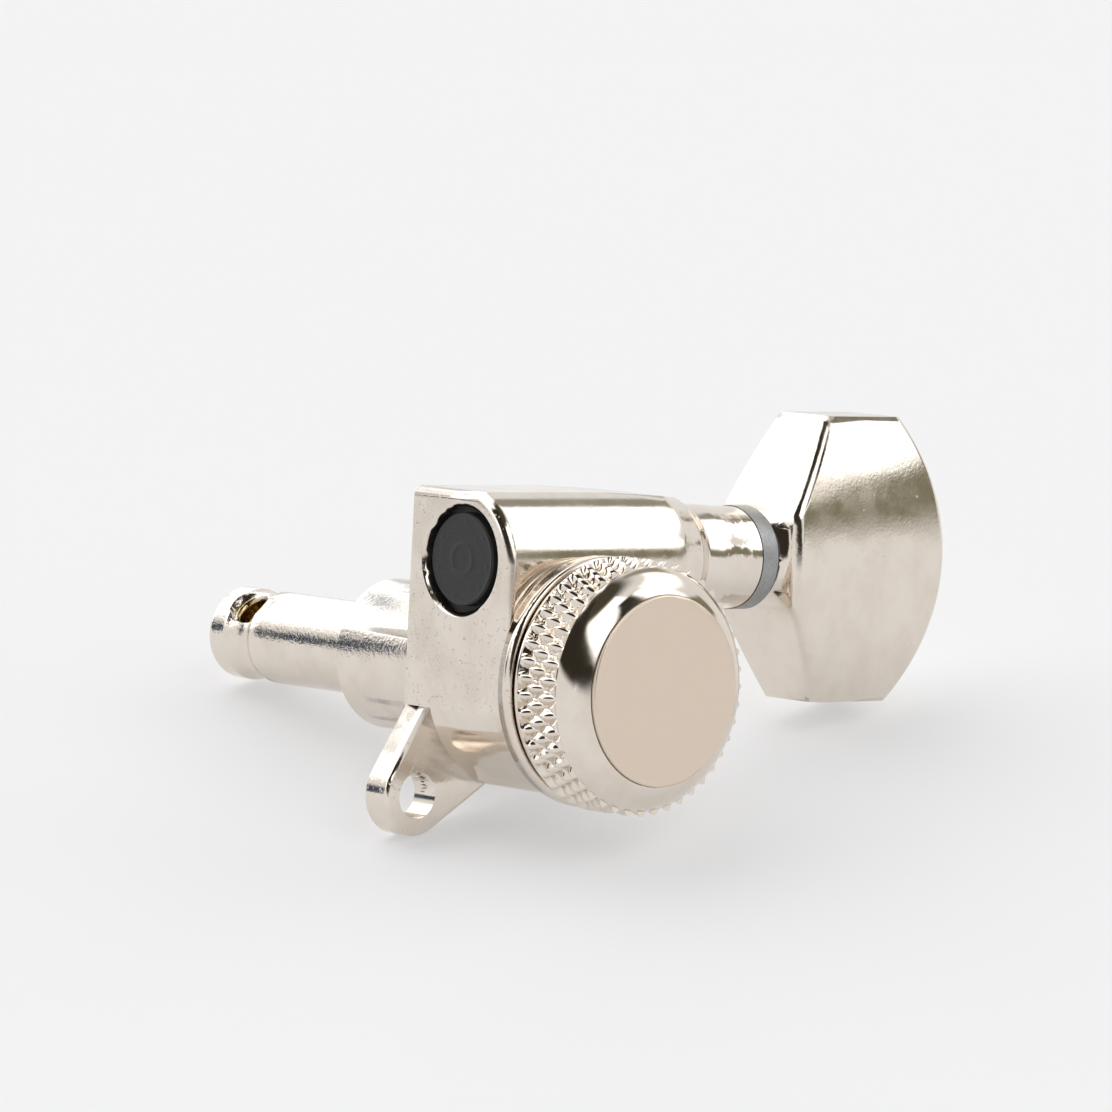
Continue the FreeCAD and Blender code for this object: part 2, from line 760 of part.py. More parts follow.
def make_worm():
    """Worm with its shaft, thrust collar, flatted tang and threaded screw hole."""
    body = new_body("worm_shaft")
    core = S["worm_core_radius"]
    turned(body, "worm_turned", [
        (ZERO, -plug_back + S["end_gap"] * 2), (core, -plug_back + S["end_gap"] * 2),
        (core, collar_start), (S["collar_radius"], collar_start), (S["collar_radius"], collar_end),
        (S["shaft_radius"], collar_end), (S["shaft_radius"], button_start),
        (S["tang_radius"], button_start), (S["tang_radius"], tang_end),
        (ZERO, tang_end)], "V_Axis")
    hole = S["screw_radius"]
    depth = tang_end - S["screw_grip"] - S["end_gap"] * 4
    turned(body, "screw_hole", [(ZERO, depth), (hole, depth), (hole, tang_end + S["overrun"]),
                                (ZERO, tang_end + S["overrun"])], "V_Axis", cut=True)
    flat = sketch_on(body, "tang_flat_outline", "XY_Plane")
    reach = S["tang_radius"] + S["overrun"]
    add_loop(flat, [(S["tang_flat"], button_start), (reach, button_start),
                    (reach, tang_end + S["overrun"]), (S["tang_flat"], tang_end + S["overrun"])])
    cut_through(body, "tang_flat_cut", flat)

    # The thread passes the gear's middle a quarter turn after the side where its section
    # is drawn, so it starts a turn and a quarter before the middle.
    crest = S["worm_pitch_radius"] + tooth_module
    flank = S["flank_slope_share"]
    foot = core - S["end_gap"] * 2
    half_pitch_line = tooth_pitch * S["worm_thread_share"] / 2
    half_crest = half_pitch_line - tooth_module * flank
    half_foot = half_pitch_line + (S["worm_pitch_radius"] - foot) * flank
    start = -(tooth_pitch + tooth_pitch / 4)
    thread = add_loop(sketch_on(body, "thread_section", "XY_Plane"), [
        (foot, start - half_foot), (foot, start + half_foot),
        (crest, start + half_crest), (crest, start - half_crest)])
    doc.recompute()
    helix = body.newObject("PartDesign::AdditiveHelix", "worm_thread")
    helix.Profile = thread
    helix.ReferenceAxis = (thread, ["V_Axis"])
    helix.Mode = 0
    bind(helix, "Pitch", tooth_pitch)
    bind(helix, "Height", tooth_pitch * S["thread_turns"])
    helix.LeftHanded = False
    helix.Reversed = False
    doc.recompute()
    return body


def make_spring_washer():
    """Dished washer under the button, which keeps the worm free of play."""
    body = new_body("spring_washer")
    inner = S["shaft_radius"] + S["end_gap"]
    outer = S["spring_washer_radius"]
    rise = S["spring_washer_rise"]
    thick = S["spring_washer_thickness"]
    turned(body, "dished", [(inner, grey_end + rise), (outer, grey_end), (outer, grey_end + thick),
                            (inner, grey_end + rise + thick)], "V_Axis")
    return body


def make_button():
    """Metal button: six-sided outline, crowned on both broad sides, bevelled rims."""
    body = new_body("button")
    high = S["button_half_height"]
    corner = S["button_corner_height"]
    inner_end = button_inner + S["button_end_inset"]
    outer_end = inner_end + S["button_end_width"]
    # The outer edge is an arc through the two ends and the middle.
    rise = button_outer - outer_end
    radius = (high * high / rise + rise) / 2
    outline = sketch_on(body, "button_outline", "YZ_Plane")
    add_loop(outline, [(inner_end, high), (button_inner, corner), (button_inner, -corner),
                       (inner_end, -high), (outer_end, -high), (outer_end, high)],
             {4: (button_outer - radius, ZERO, 1)})
    thick = S["button_half_middle"] + S["overrun"]
    slab = body.newObject("PartDesign::Pad", "button_slab")
    slab.Profile = outline
    bind(slab, "Length", thick * 2)
    slab.Midplane = True
    doc.recompute()

    # Both broad sides are arcs, thickest on the shaft's line.
    crown = S["button_half_middle"] - S["button_half_end"]
    crown_radius = (high * high / crown + crown) / 2
    middle = S["button_half_middle"]
    far = middle + S["overrun"] * 2
    tall = high + S["overrun"]
    tall_inset = tall * tall / crown_radius / 2
    edge = middle - tall_inset
    for side, name in ((1, "back"), (-1, "front")):
        crowned = sketch_on(body, f"crown_{name}_outline", "XZ_Plane")
        corners = [(edge * side, -tall), (edge * side, tall), (far * side, tall), (far * side, -tall)]
        add_loop(crowned, corners, {0: ((middle - crown_radius) * side, ZERO, side)})
        cut_through(body, f"crown_{name}", crowned)

    boss = add_circle(sketch_on(body, "boss_outline", "XZ_Plane", -button_start),
                      (ZERO, ZERO), S["button_boss_radius"])
    padded(body, "boss", boss, S["button_boss_length"] * 2, reverse=True)

    def inner_rim(edge, middle_point):
        boss_reach = (S["button_boss_radius"] + S["end_gap"]).value
        off_line = math.hypot(middle_point.x, middle_point.z) > boss_reach
        on_side = abs(middle_point.x) > S["button_half_end"].value / 2
        return (off_line and on_side and edge.Length > corner.value
                and middle_point.y < inner_end.value + S["end_gap"].value)

    softened(body, "Chamfer", "button_bevel", S["button_bevel"], inner_rim)

    def outer_rim(edge, middle_point):
        return middle_point.y > outer_end.value + S["end_gap"].value and edge.Length > high.value

    softened(body, "Fillet", "button_round", S["button_round"], outer_rim)

    gap = S["end_gap"]
    tang = S["tang_radius"] + gap
    screw = S["screw_radius"] + gap
    head = S["screw_head_radius"] + gap
    turned(body, "screw_way", [
        (ZERO, button_start - gap), (screw, button_start - gap),
        (screw, screw_seat), (head, screw_seat),
        (head, button_outer + S["overrun"]), (ZERO, button_outer + S["overrun"])], "V_Axis", cut=True)
    socket = sketch_on(body, "tang_socket_outline", "XZ_Plane", -button_start)
    flatted_loop(socket, tang, S["tang_flat"] + gap)
    before = body.Shape.Volume
    pocket = body.newObject("PartDesign::Pocket", "tang_socket")
    pocket.Profile = socket
    bind(pocket, "Length", S["tang_length"] + gap)
    doc.recompute()
    if body.Shape.Volume >= before:
        raise RuntimeError("the tang's socket cuts nothing")
    return body


def make_button_screw():
    """Slotted screw that draws the button on to the worm's tang."""
    body = new_body("button_screw")
    head_end = screw_seat + S["screw_head_length"]
    turned(body, "screw_turned", [
        (ZERO, tang_end - S["screw_grip"]), (S["screw_radius"], tang_end - S["screw_grip"]),
        (S["screw_radius"], screw_seat), (S["screw_head_radius"], screw_seat),
        (S["screw_head_radius"], head_end), (ZERO, head_end)], "V_Axis")
    slot = sketch_on(body, "slot_outline", "YZ_Plane")
    half = S["screw_slot"] / 2
    bottom = head_end - S["screw_slot"]
    over = head_end + S["overrun"]
    add_loop(slot, [(bottom, -half), (over, -half), (over, half), (bottom, half)])
    cut_through(body, "slot", slot)
    return body


def make_lock_pin():
    """Pin that the thumbwheel drives along the post's hollow on to the string."""
    body = new_body("lock_pin")
    section = sketch_on(body, "pin_section", "YZ_Plane", -pin_tip)
    padded(body, "pin_rod", flatted_loop(section, S["pin_radius"], S["pin_flat"]), pin_back + pin_tip)
    return body


def make_pin_guide():
    """Guide in the post, whose flatted hole keeps the pin from turning."""
    gap = S["running_gap"]
    body = ring("pin_guide", S["pin_flat"] / 2, S["stem_radius"] + gap, guide_front, guide_back)
    hole = sketch_on(body, "guide_hole_outline", "YZ_Plane", guide_front)
    flatted_loop(hole, S["pin_radius"] + gap, S["pin_flat"] + gap)
    cut_through(body, "guide_hole", hole)
    return body


def make_lock_nut():
    """Flanged sleeve fixed in the thumbwheel, threaded on the lock pin."""
    body = new_body("lock_nut")
    hole = S["pin_radius"] + S["running_gap"]
    turned(body, "nut_turned", [
        (stem_front, hole), (stem_front, S["stem_radius"]), (flange_front, S["stem_radius"]),
        (flange_front, S["stem_flange_radius"]), (flange_back, S["stem_flange_radius"]),
        (flange_back, hole)])
    return body


def make_thumbwheel():
    """Knurled wheel: web on the post's end, hollow for nut and clip, domed shoulder."""
    body = new_body("thumbwheel")
    bore = S["journal_radius"] + S["running_gap"]
    web_back = wheel_front + S["wheel_web"]
    turned(body, "wheel_turned", [
        (wheel_front, bore), (wheel_front, S["wheel_rim_radius"]),
        (knurl_front, S["wheel_rim_radius"]), (knurl_front, S["wheel_radius"]),
        (knurl_back, S["wheel_radius"]), (wheel_back, S["wheel_radius"]),
        (wheel_back, S["disc_radius"]), (disc_front, S["disc_radius"]),
        (disc_front, S["stem_flange_radius"]), (flange_front, S["stem_flange_radius"]),
        (flange_front, S["wheel_bore_radius"]), (web_back, S["wheel_bore_radius"]),
        (web_back, bore)])
    outer = S["wheel_radius"].value
    softened(body, "Fillet", "wheel_shoulder_round", S["wheel_shoulder"],
             lambda edge, middle: near(math.hypot(middle.y, middle.z), outer)
             and near(middle.x, wheel_back.value))
    for name, hand in (("right", 1), ("left", -1)):
        cut_knurl(body, name, hand)
    return body


def cut_knurl(body, name, hand):
    """Cut one family of the knurl's straight slanting grooves, all round the wheel.

    Args:
        body: the thumbwheel.
        name: the family's name.
        hand: 1 for grooves that slant to one side and -1 for the other.
    """
    bottom = S["wheel_radius"] - S["knurl_depth"]
    top = S["wheel_radius"] + S["knurl_depth"]
    half = (top - bottom) * sine_of(S["knurl_flank"]) / cosine_of(S["knurl_flank"])
    middle = knurl_front + S["knurl_width"] / 2
    slant = S["knurl_slant"] * hand
    groove = body.newObject("Sketcher::SketchObject", f"knurl_{name}_outline")
    groove.AttachmentSupport = [(origin_item(body, "YZ_Plane"), "")]
    groove.MapMode = "FlatFace"
    groove.AttachmentOffset = Placement(Vector(0, 0, middle.value),
                                        Rotation(Vector(0, 1, 0), slant.value))
    bind(groove, "AttachmentOffset.Base.z", middle)
    bind(groove, "AttachmentOffset.Rotation.Angle", slant)
    add_loop(groove, [(ZERO, bottom), (half, top), (-half, top)])
    before = body.Shape.Volume
    cut = body.newObject("PartDesign::Pocket", f"knurl_{name}_groove")
    cut.Profile = groove
    cut.Midplane = True
    bind(cut, "Length", S["knurl_width"] * 2)
    doc.recompute()
    if body.Shape.Volume >= before:
        raise RuntimeError(f"the {name} knurl cuts nothing")
    pattern_round(body, f"knurl_{name}_grooves", cut, S["knurl_grooves"])


def pattern_round(body, name, feature, count):
    """Repeat a cut evenly round the post's axis."""
    around = body.newObject("PartDesign::PolarPattern", name)
    around.Originals = [feature]
    around.Axis = (origin_item(body, "X_Axis"), [""])
    around.Angle = 360
    bind(around, "Occurrences", count)
    body.Tip = around
    doc.recompute()


def make_face_disc():
    """Bare brushed disc that closes the thumbwheel's face."""
    body = new_body("face_disc")
    turned(body, "disc_turned", [
        (disc_front, ZERO), (disc_front, S["disc_radius"]), (disc_back, S["disc_radius"]),
        (disc_back, ZERO)])
    softened(body, "Fillet", "disc_round", S["disc_round"],
             lambda edge, middle: near(middle.x, disc_back.value)
             and near(math.hypot(middle.y, middle.z), S["disc_radius"].value))
    return body


gap = S["running_gap"]
on_post = [
    make_housing(),
    make_cover(),
    ring("post_sleeve", S["post_radius"] + gap, S["sleeve_radius"],
         -S["hub_length"] + S["end_gap"] * 4, -S["sleeve_lip"]),
    ring("gear_washer", S["post_radius"] + gap, chamber_radius - S["end_gap"] * 4,
         S["floor_wall"], gear_washer_back),
    ring("cover_bush", S["journal_radius"] + gap, S["cover_bush_radius"], cover_front, cover_back),
    make_string_post(),
    make_gear(),
    clip("gear_clip", S["journal_radius"] - S["clip_groove_depth"], gear_back),
    clip("wheel_clip", S["journal_radius"] - S["clip_groove_depth"], wheel_clip_front),
    make_pin_guide(),
    make_lock_pin(),
    make_lock_nut(),
    make_thumbwheel(),
    make_face_disc(),
    ring("wheel_washer", S["journal_radius"] + gap, S["wheel_washer_radius"],
         cover_back + S["wheel_washer_gap"], wheel_front),
]
on_worm = [
    make_plug(),
    ring("end_bush", S["worm_core_radius"] + gap, S["worm_bore_radius"],
         -plug_back, -bush_back, "V_Axis"),
    ring("worm_washer", S["shaft_radius"] + gap, S["worm_bore_radius"],
         S["worm_bore_end"] - S["worm_washer_thickness"], S["worm_bore_end"], "V_Axis"),
    ring("neck_bush", S["shaft_radius"] + gap, S["neck_bore_radius"],
         S["worm_bore_end"], S["neck_end"], "V_Axis"),
    make_worm(),
    ring("grey_washer", S["shaft_radius"] + gap, S["grey_washer_radius"],
         grey_start, grey_end, "V_Axis"),
    make_spring_washer(),
    make_button(),
    make_button_screw(),
]
doc.recompute()
for piece in on_post:
    piece.Placement = LYING
for piece in on_worm:
    piece.Placement = LYING.multiply(WORM_LINE)
doc.recompute()

for item in doc.Objects:
    if "Invalid" in item.State or "Error" in item.State:
        raise RuntimeError(f"{item.Label} failed: {item.State}")
os.makedirs("parts", exist_ok=True)
for piece in on_post + on_worm:
    shape = piece.Shape
    if shape.isNull() or not shape.isValid() or len(shape.Solids) != 1:
        raise RuntimeError(f"{piece.Label} is not one valid solid")
    shape.exportStep(f"parts/{piece.Label}.step")
    print(f"{piece.Label}: {shape.Volume:.2f} cubic millimetres")
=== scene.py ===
"""Looks of a locking guitar tuning machine that lies on a pale studio table.

The machine's own axes are read from the frame's joints: X runs along the string post
towards the thumbwheel, Y along the worm towards the button, and Z from the post to the
worm. Sizes are in millimetres in those axes, and become metres as a mesh is made.
"""
import json
import logging
import math
from abc import ABC, abstractmethod
from dataclasses import dataclass
from enum import Enum
from typing import Callable, Optional, Sequence, Union

import bmesh
import bpy
import numpy as np
from mathutils import Matrix, Vector


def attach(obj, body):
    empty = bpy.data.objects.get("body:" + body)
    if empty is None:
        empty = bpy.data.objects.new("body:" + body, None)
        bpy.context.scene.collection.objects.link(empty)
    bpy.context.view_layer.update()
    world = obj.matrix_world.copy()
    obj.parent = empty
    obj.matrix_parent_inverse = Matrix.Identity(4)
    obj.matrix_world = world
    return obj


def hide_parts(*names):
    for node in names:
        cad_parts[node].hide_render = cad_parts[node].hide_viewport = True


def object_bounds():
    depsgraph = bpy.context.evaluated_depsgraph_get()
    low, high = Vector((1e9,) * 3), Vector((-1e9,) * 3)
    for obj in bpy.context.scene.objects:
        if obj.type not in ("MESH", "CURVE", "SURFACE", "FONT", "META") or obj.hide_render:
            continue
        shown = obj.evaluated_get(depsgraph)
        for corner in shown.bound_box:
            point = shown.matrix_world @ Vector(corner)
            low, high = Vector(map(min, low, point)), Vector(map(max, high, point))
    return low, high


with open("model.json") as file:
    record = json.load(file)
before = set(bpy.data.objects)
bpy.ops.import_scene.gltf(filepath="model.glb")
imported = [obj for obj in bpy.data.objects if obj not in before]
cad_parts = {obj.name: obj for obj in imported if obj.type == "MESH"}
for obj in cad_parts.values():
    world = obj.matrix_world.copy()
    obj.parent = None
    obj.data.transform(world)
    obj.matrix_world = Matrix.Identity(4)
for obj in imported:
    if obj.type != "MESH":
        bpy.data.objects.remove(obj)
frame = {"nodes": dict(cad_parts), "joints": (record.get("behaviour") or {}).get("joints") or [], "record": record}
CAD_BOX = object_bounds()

log = logging.getLogger("tuning_machine")
MM = 0.001
MERGE_REACH = 0.0005 * MM
CUT_REACH = 1e-7
NEVER_ZERO = 1e-6
SIDE_LEAN = 0.2
CONE_DEPTH = 0.006
END_FACE = 0.98
SOLID_SHARP = 30.0
TURNED_SHARP = 40.0
Number = Union[int, float]
Tint = tuple[float, float, float]
Span = tuple[float, float]


class Place(Enum):
    """Which line of the machine a mesh or a pattern is measured from."""

    POST = "post"
    WORM = "worm"


@dataclass(frozen=True)
class MachineAxes:
    """The machine's axes as it lies, with the point where the worm's line crosses."""

    along_post: np.ndarray
    along_worm: np.ndarray
    up: np.ndarray
    worm_point: np.ndarray

    @staticmethod
    def from_joints(joints: Sequence[dict]) -> "MachineAxes":
        """Read the axes from the record's joints.

        Args:
            joints: the frame's joints, each with its axis and position in metres.

        Returns:
            The axes as unit vectors, and the worm's point in metres.
        """
        by_name = {joint["name"]: joint for joint in joints}
        post = np.array(by_name["post_spin"]["axis"], float)
        worm = np.array(by_name["worm_spin"]["axis"], float)
        worm_point = np.array(by_name["worm_spin"]["pos_m"])
        return MachineAxes(post, worm, np.cross(post, worm), worm_point)

    def origin(self, place: Place) -> np.ndarray:
        """Return the start of a line, in metres."""
        return self.worm_point if place is Place.WORM else np.zeros(3)

    def lay(self, points: np.ndarray, place: Place) -> np.ndarray:
        """Turn points in the machine's axes, in millimetres, to the lying frame in metres."""
        turned = (points[..., 0:1] * self.along_post + points[..., 1:2] * self.along_worm
                  + points[..., 2:3] * self.up)
        return turned * MM + self.origin(place)


AXES = MachineAxes.from_joints(frame["joints"])
SCREW_HOLE = np.array(next(mount["pos_m"] for mount in frame["record"]["mounts"]
                           if mount["name"] == "screw_hole"))


class Wire:
    """A shader socket that takes Python's arithmetic, one Math node to an operation."""

    def __init__(self, tree: bpy.types.NodeTree, socket: bpy.types.NodeSocket) -> None:
        """Wrap a socket of a node tree."""
        self.tree = tree
        self.socket = socket

    def math(self, operation: str, *others: Union["Wire", Number]) -> "Wire":
        """Add a Math node on this value.

        Args:
            operation: the Math node's operation.
            others: the further inputs, as wires or numbers.

        Returns:
            The node's result.
        """
        return math_node(self.tree, operation, self, *others)

    def __add__(self, other: Union["Wire", Number]) -> "Wire":
        """Sum."""
        return self.math("ADD", other)

    def __sub__(self, other: Union["Wire", Number]) -> "Wire":
        """Difference."""
        return self.math("SUBTRACT", other)

    def __rsub__(self, other: Number) -> "Wire":
        """Difference from a number."""
        return math_node(self.tree, "SUBTRACT", other, self)

    def __mul__(self, other: Union["Wire", Number]) -> "Wire":
        """Product."""
        return self.math("MULTIPLY", other)

    def __pow__(self, other: Number) -> "Wire":
        """Power."""
        return self.math("POWER", other)

    __radd__ = __add__
    __rmul__ = __mul__

    def step(self, low: float, high: float) -> "Wire":
        """Return 0 below low, 1 above high and a smooth rise between."""
        return Shade(self.tree).node("ShaderNodeMapRange", dict(interpolation_type="SMOOTHSTEP"),
                                     {"Value": self, "From Min": low, "From Max": high}, "Result")


def math_node(tree: bpy.types.NodeTree, operation: str, *inputs: Union[Wire, Number]) -> Wire:
    """Add one Math node.

    Args:
        tree: the node tree.
        operation: the node's operation.
        inputs: up to three wires or numbers.

    Returns:
        The node's result.
    """
    made = tree.nodes.new("ShaderNodeMath")
    made.operation = operation
    for index, value in enumerate(inputs):
        if isinstance(value, Wire):
            tree.links.new(value.socket, made.inputs[index])
        else:
            made.inputs[index].default_value = value
    return Wire(tree, made.outputs[0])


class Shade:
    """Adds nodes to one tree."""

    def __init__(self, tree: bpy.types.NodeTree) -> None:
        """Work on a node tree."""
        self.tree = tree

    def node(self, kind: str, settings: dict, values: dict, output: Union[str, int] = 0) -> Wire:
        """Add a node of any type.

        Args:
            kind: the node's type.
            settings: the node's own settings.
            values: each input's wire or value.
            output: the output's name or number.

        Returns:
            The chosen output.
        """
        made = self.tree.nodes.new(kind)
        for name, value in settings.items():
            setattr(made, name, value)
        for name, value in values.items():
            if isinstance(value, Wire):
                self.tree.links.new(value.socket, made.inputs[name])
            else:
                made.inputs[name].default_value = value
        return Wire(self.tree, made.outputs[output])

    def machine_place(self, place: Place) -> tuple[Wire, Wire, Wire]:
        """Return the surface point's X, Y and Z in the machine's axes, in millimetres."""
        spot = self.node("ShaderNodeTexCoord", {}, {}, "Object")
        spot = self.node("ShaderNodeVectorMath", dict(operation="SUBTRACT"),
                         {0: spot, 1: tuple(AXES.origin(place))})
        return tuple(
            self.node("ShaderNodeVectorMath", dict(operation="DOT_PRODUCT"),
                      {0: spot, 1: tuple(axis / MM)}, "Value")
            for axis in (AXES.along_post, AXES.along_worm, AXES.up))

    def joined(self, x: Wire, y: Wire, z: Wire) -> Wire:
        """Join three values to a vector."""
        return self.node("ShaderNodeCombineXYZ", {}, {0: x, 1: y, 2: z})

    def noise(self, spot: Wire, scale: float, detail: float = 3.0, rough: float = 0.5) -> Wire:
        """Return noise from 0 to 1 at a scale in turns per millimetre."""
        return self.node("ShaderNodeTexNoise", {},
                         {"Vector": spot, "Scale": scale, "Detail": detail, "Roughness": rough}, 0)

    def rings(self, along: Wire, scale: float, detail: float) -> Wire:
        """Return noise from 0 to 1 that changes with one value only."""
        return self.node("ShaderNodeTexNoise", dict(noise_dimensions="1D"),
                         {"W": along, "Scale": scale, "Detail": detail}, 0)

    def blend(self, share: Wire, first: Union[Wire, Tint], second: Tint) -> Wire:
        """Mix a colour, wired or plain, with a plain one by a share."""
        below = first if isinstance(first, Wire) else (*first, 1.0)
        return self.node("ShaderNodeMix", dict(data_type="RGBA"),
                         {0: share, 6: below, 7: (*second, 1.0)}, 2)

    def bump(self, height: Wire) -> Wire:
        """Return the normal of a surface raised by a height in millimetres."""
        return self.node("ShaderNodeBump", {},
                         {"Height": height * MM, "Strength": 1.0, "Distance": 1.0})


def scaled(tint: Tint, factor: float) -> Tint:
    """Return a colour with each value multiplied."""
    return tuple(factor * value for value in tint)


class Finish(ABC):
    """A surface finish that makes its own material."""

    @abstractmethod
    def wire_up(self, shade: Shade, surface: bpy.types.Node) -> None:
        """Set and link the shader's sockets."""

    def material(self, name: str) -> bpy.types.Material:
        """Make the material under a name."""
        made = bpy.data.materials.new(name)
        made.use_nodes = True
        made.node_tree.nodes.clear()
        surface = made.node_tree.nodes.new("ShaderNodeBsdfPrincipled")
        output = made.node_tree.nodes.new("ShaderNodeOutputMaterial")
        made.node_tree.links.new(surface.outputs[0], output.inputs["Surface"])
        self.wire_up(Shade(made.node_tree), surface)
        return made


def feed(surface: bpy.types.Node, name: str, value: Union[Wire, Number, tuple]) -> None:
    """Set or link one socket of a shader."""
    if isinstance(value, Wire):
        value.tree.links.new(value.socket, surface.inputs[name])
    else:
        surface.inputs[name].default_value = value


@dataclass(frozen=True)
class PlatedNickel(Finish):
    """Bright nickel plate: clouded tint, pits, mottle and fine waviness."""

    tint: Tint = (0.79, 0.72, 0.645)
    deep: Tint = (0.75, 0.675, 0.59)
    rough: float = 0.07
    rough_cloud: float = 0.12
    rough_pit: float = 0.15
    cloud_scale: float = 0.35
    cloud_span: Span = (0.35, 0.7)
    pit_scale: float = 2.6
    pit_span: Span = (0.70, 0.76)
    pit_height: float = 0.006
    wave_scale: float = 0.5
    wave_height: float = 0.004
    mottle_scale: float = 4.2
    mottle_height: float = 0.003
    face_span: Span = (7.3, 7.5)
    face_pits: float = 0.09
    face_mottle: float = 0.5
    hub_span: Span = (0.2, 1.2)
    hub_mottle: float = 7.0
    place: Place = Place.POST

    def wire_up(self, shade: Shade, surface: bpy.types.Node) -> None:
        """Clouds tint and blur the plate, and pits, mottle and waves dent it.

        The block's cast end face has more pits and mottle, and the hub has the most mottle.
        """
        x, y, z = shade.machine_place(self.place)
        spot = shade.joined(x, y, z)
        cloud = shade.noise(spot, self.cloud_scale, 5.0, 0.6).step(*self.cloud_span)
        on_face = (y * -1.0).step(*self.face_span)
        pit = shade.noise(spot, self.pit_scale, 2.0) + on_face * self.face_pits
        pit = pit.step(*self.pit_span)
        on_hub = (x * -1.0).step(*self.hub_span) * self.hub_mottle
        mottle = shade.noise(spot, self.mottle_scale, 3.0, 0.6)
        mottle = mottle * (on_hub + on_face * self.face_mottle + 1.0)
        wave = shade.noise(spot, self.wave_scale, 1.0)
        feed(surface, "Base Color", shade.blend(cloud, self.tint, self.deep))
        feed(surface, "Metallic", 1.0)
        feed(surface, "Roughness", cloud * self.rough_cloud + pit * self.rough_pit + self.rough)
        height = wave * self.wave_height + mottle * self.mottle_height - pit * self.pit_height
        feed(surface, "Normal", shade.bump(height))


@dataclass(frozen=True)
class TurnedNickel(Finish):
    """Nickel on a turned piece: fine rings and mottle over the plate's clouds."""

    tint: Tint = (0.79, 0.72, 0.645)
    deep: Tint = (0.75, 0.675, 0.59)
    rough: float = 0.08
    rough_cloud: float = 0.1
    ring_scale: float = 9.0
    ring_height: float = 0.0015
    cloud_scale: float = 0.45
    cloud_span: Span = (0.35, 0.7)
    wave_scale: float = 0.6
    wave_height: float = 0.004
    mottle_scale: float = 4.2
    mottle_height: float = 0.022
    inside_tint: Tint = (0.62, 0.47, 0.24)
    inside_radii: Span = (2.45, 2.65)
    inside_front: Span = (-25.0, -24.6)
    inside_back: Span = (-20.0, -19.0)

    def wire_up(self, shade: Shade, surface: bpy.types.Node) -> None:
        """Rings are noise that changes along the post's line only.

        The string hole's wall, which is nearer to the line than the post's surface, shows
        the brass under the plate.
        """
        x, y, z = shade.machine_place(Place.POST)
        spot = shade.joined(x, y, z)
        rings = shade.rings(x, self.ring_scale, 4.0)
        cloud = shade.noise(spot, self.cloud_scale, 5.0, 0.65).step(*self.cloud_span)
        wave = shade.noise(spot, self.wave_scale, 1.0)
        mottle = shade.noise(spot, self.mottle_scale, 2.0, 0.6)
        plate = shade.blend(cloud, self.tint, self.deep)
        radius = (y * y + z * z) ** 0.5
        at_waist = x.step(*self.inside_front) * (1 - x.step(*self.inside_back))
        inside = (1 - radius.step(*self.inside_radii)) * at_waist
        feed(surface, "Base Color", shade.blend(inside, plate, self.inside_tint))
        feed(surface, "Metallic", 1.0)
        feed(surface, "Roughness", cloud * self.rough_cloud + self.rough)
        height = rings * self.ring_height + wave * self.wave_height + mottle * self.mottle_height
        feed(surface, "Normal", shade.bump(height))


@dataclass(frozen=True)
class BrushedDisc(Finish):
    """Matt warm metal with faint rings round the post's line."""

    tint: Tint = (0.80, 0.68, 0.57)
    dim: float = 0.985
    rough: float = 0.30
    rough_grain: float = 0.15
    ring_scale: float = 7.0
    ring_span: Span = (0.3, 0.7)
    ring_height: float = 0.0012
    grain_scale: float = 6.0
    grain_height: float = 0.002

    def wire_up(self, shade: Shade, surface: bpy.types.Node) -> None:
        """Rings are noise of the distance from the post's line."""
        x, y, z = shade.machine_place(Place.POST)
        rings = shade.rings((y * y + z * z) ** 0.5, self.ring_scale, 6.0)
        grain = shade.noise(shade.joined(x, y, z), self.grain_scale, 4.0)
        ringed = shade.blend(rings.step(*self.ring_span), self.tint, scaled(self.tint, self.dim))
        feed(surface, "Base Color", ringed)
        feed(surface, "Metallic", 1.0)
        feed(surface, "Roughness", grain * self.rough_grain + self.rough)
        feed(surface, "Normal", shade.bump(rings * self.ring_height + grain * self.grain_height))


@dataclass(frozen=True)
class MouldedCap(Finish):
    """Black moulded plastic with faint rings and fine grain."""

    tint: Tint = (0.012, 0.012, 0.013)
    lift: float = 2.2
    rough: float = 0.34
    rough_grain: float = 0.2
    rough_ring: float = 0.12
    ring_scale: float = 2.4
    ring_height: float = 0.03
    grain_scale: float = 5.0
    grain_span: Span = (0.3, 0.8)
    grain_height: float = 0.012

    def wire_up(self, shade: Shade, surface: bpy.types.Node) -> None:
        """Rings round the worm's line, and grain."""
        x, y, z = shade.machine_place(Place.WORM)
        rings = shade.rings((x * x + z * z) ** 0.5, self.ring_scale, 3.0)
        grain = shade.noise(shade.joined(x, y, z), self.grain_scale, 4.0, 0.6)
        grained = shade.blend(grain.step(*self.grain_span), self.tint, scaled(self.tint, self.lift))
        feed(surface, "Base Color", grained)
        feed(surface, "Roughness", grain * self.rough_grain + rings * self.rough_ring + self.rough)
        feed(surface, "Specular IOR Level", 0.5)
        feed(surface, "Normal", shade.bump(rings * self.ring_height + grain * self.grain_height))


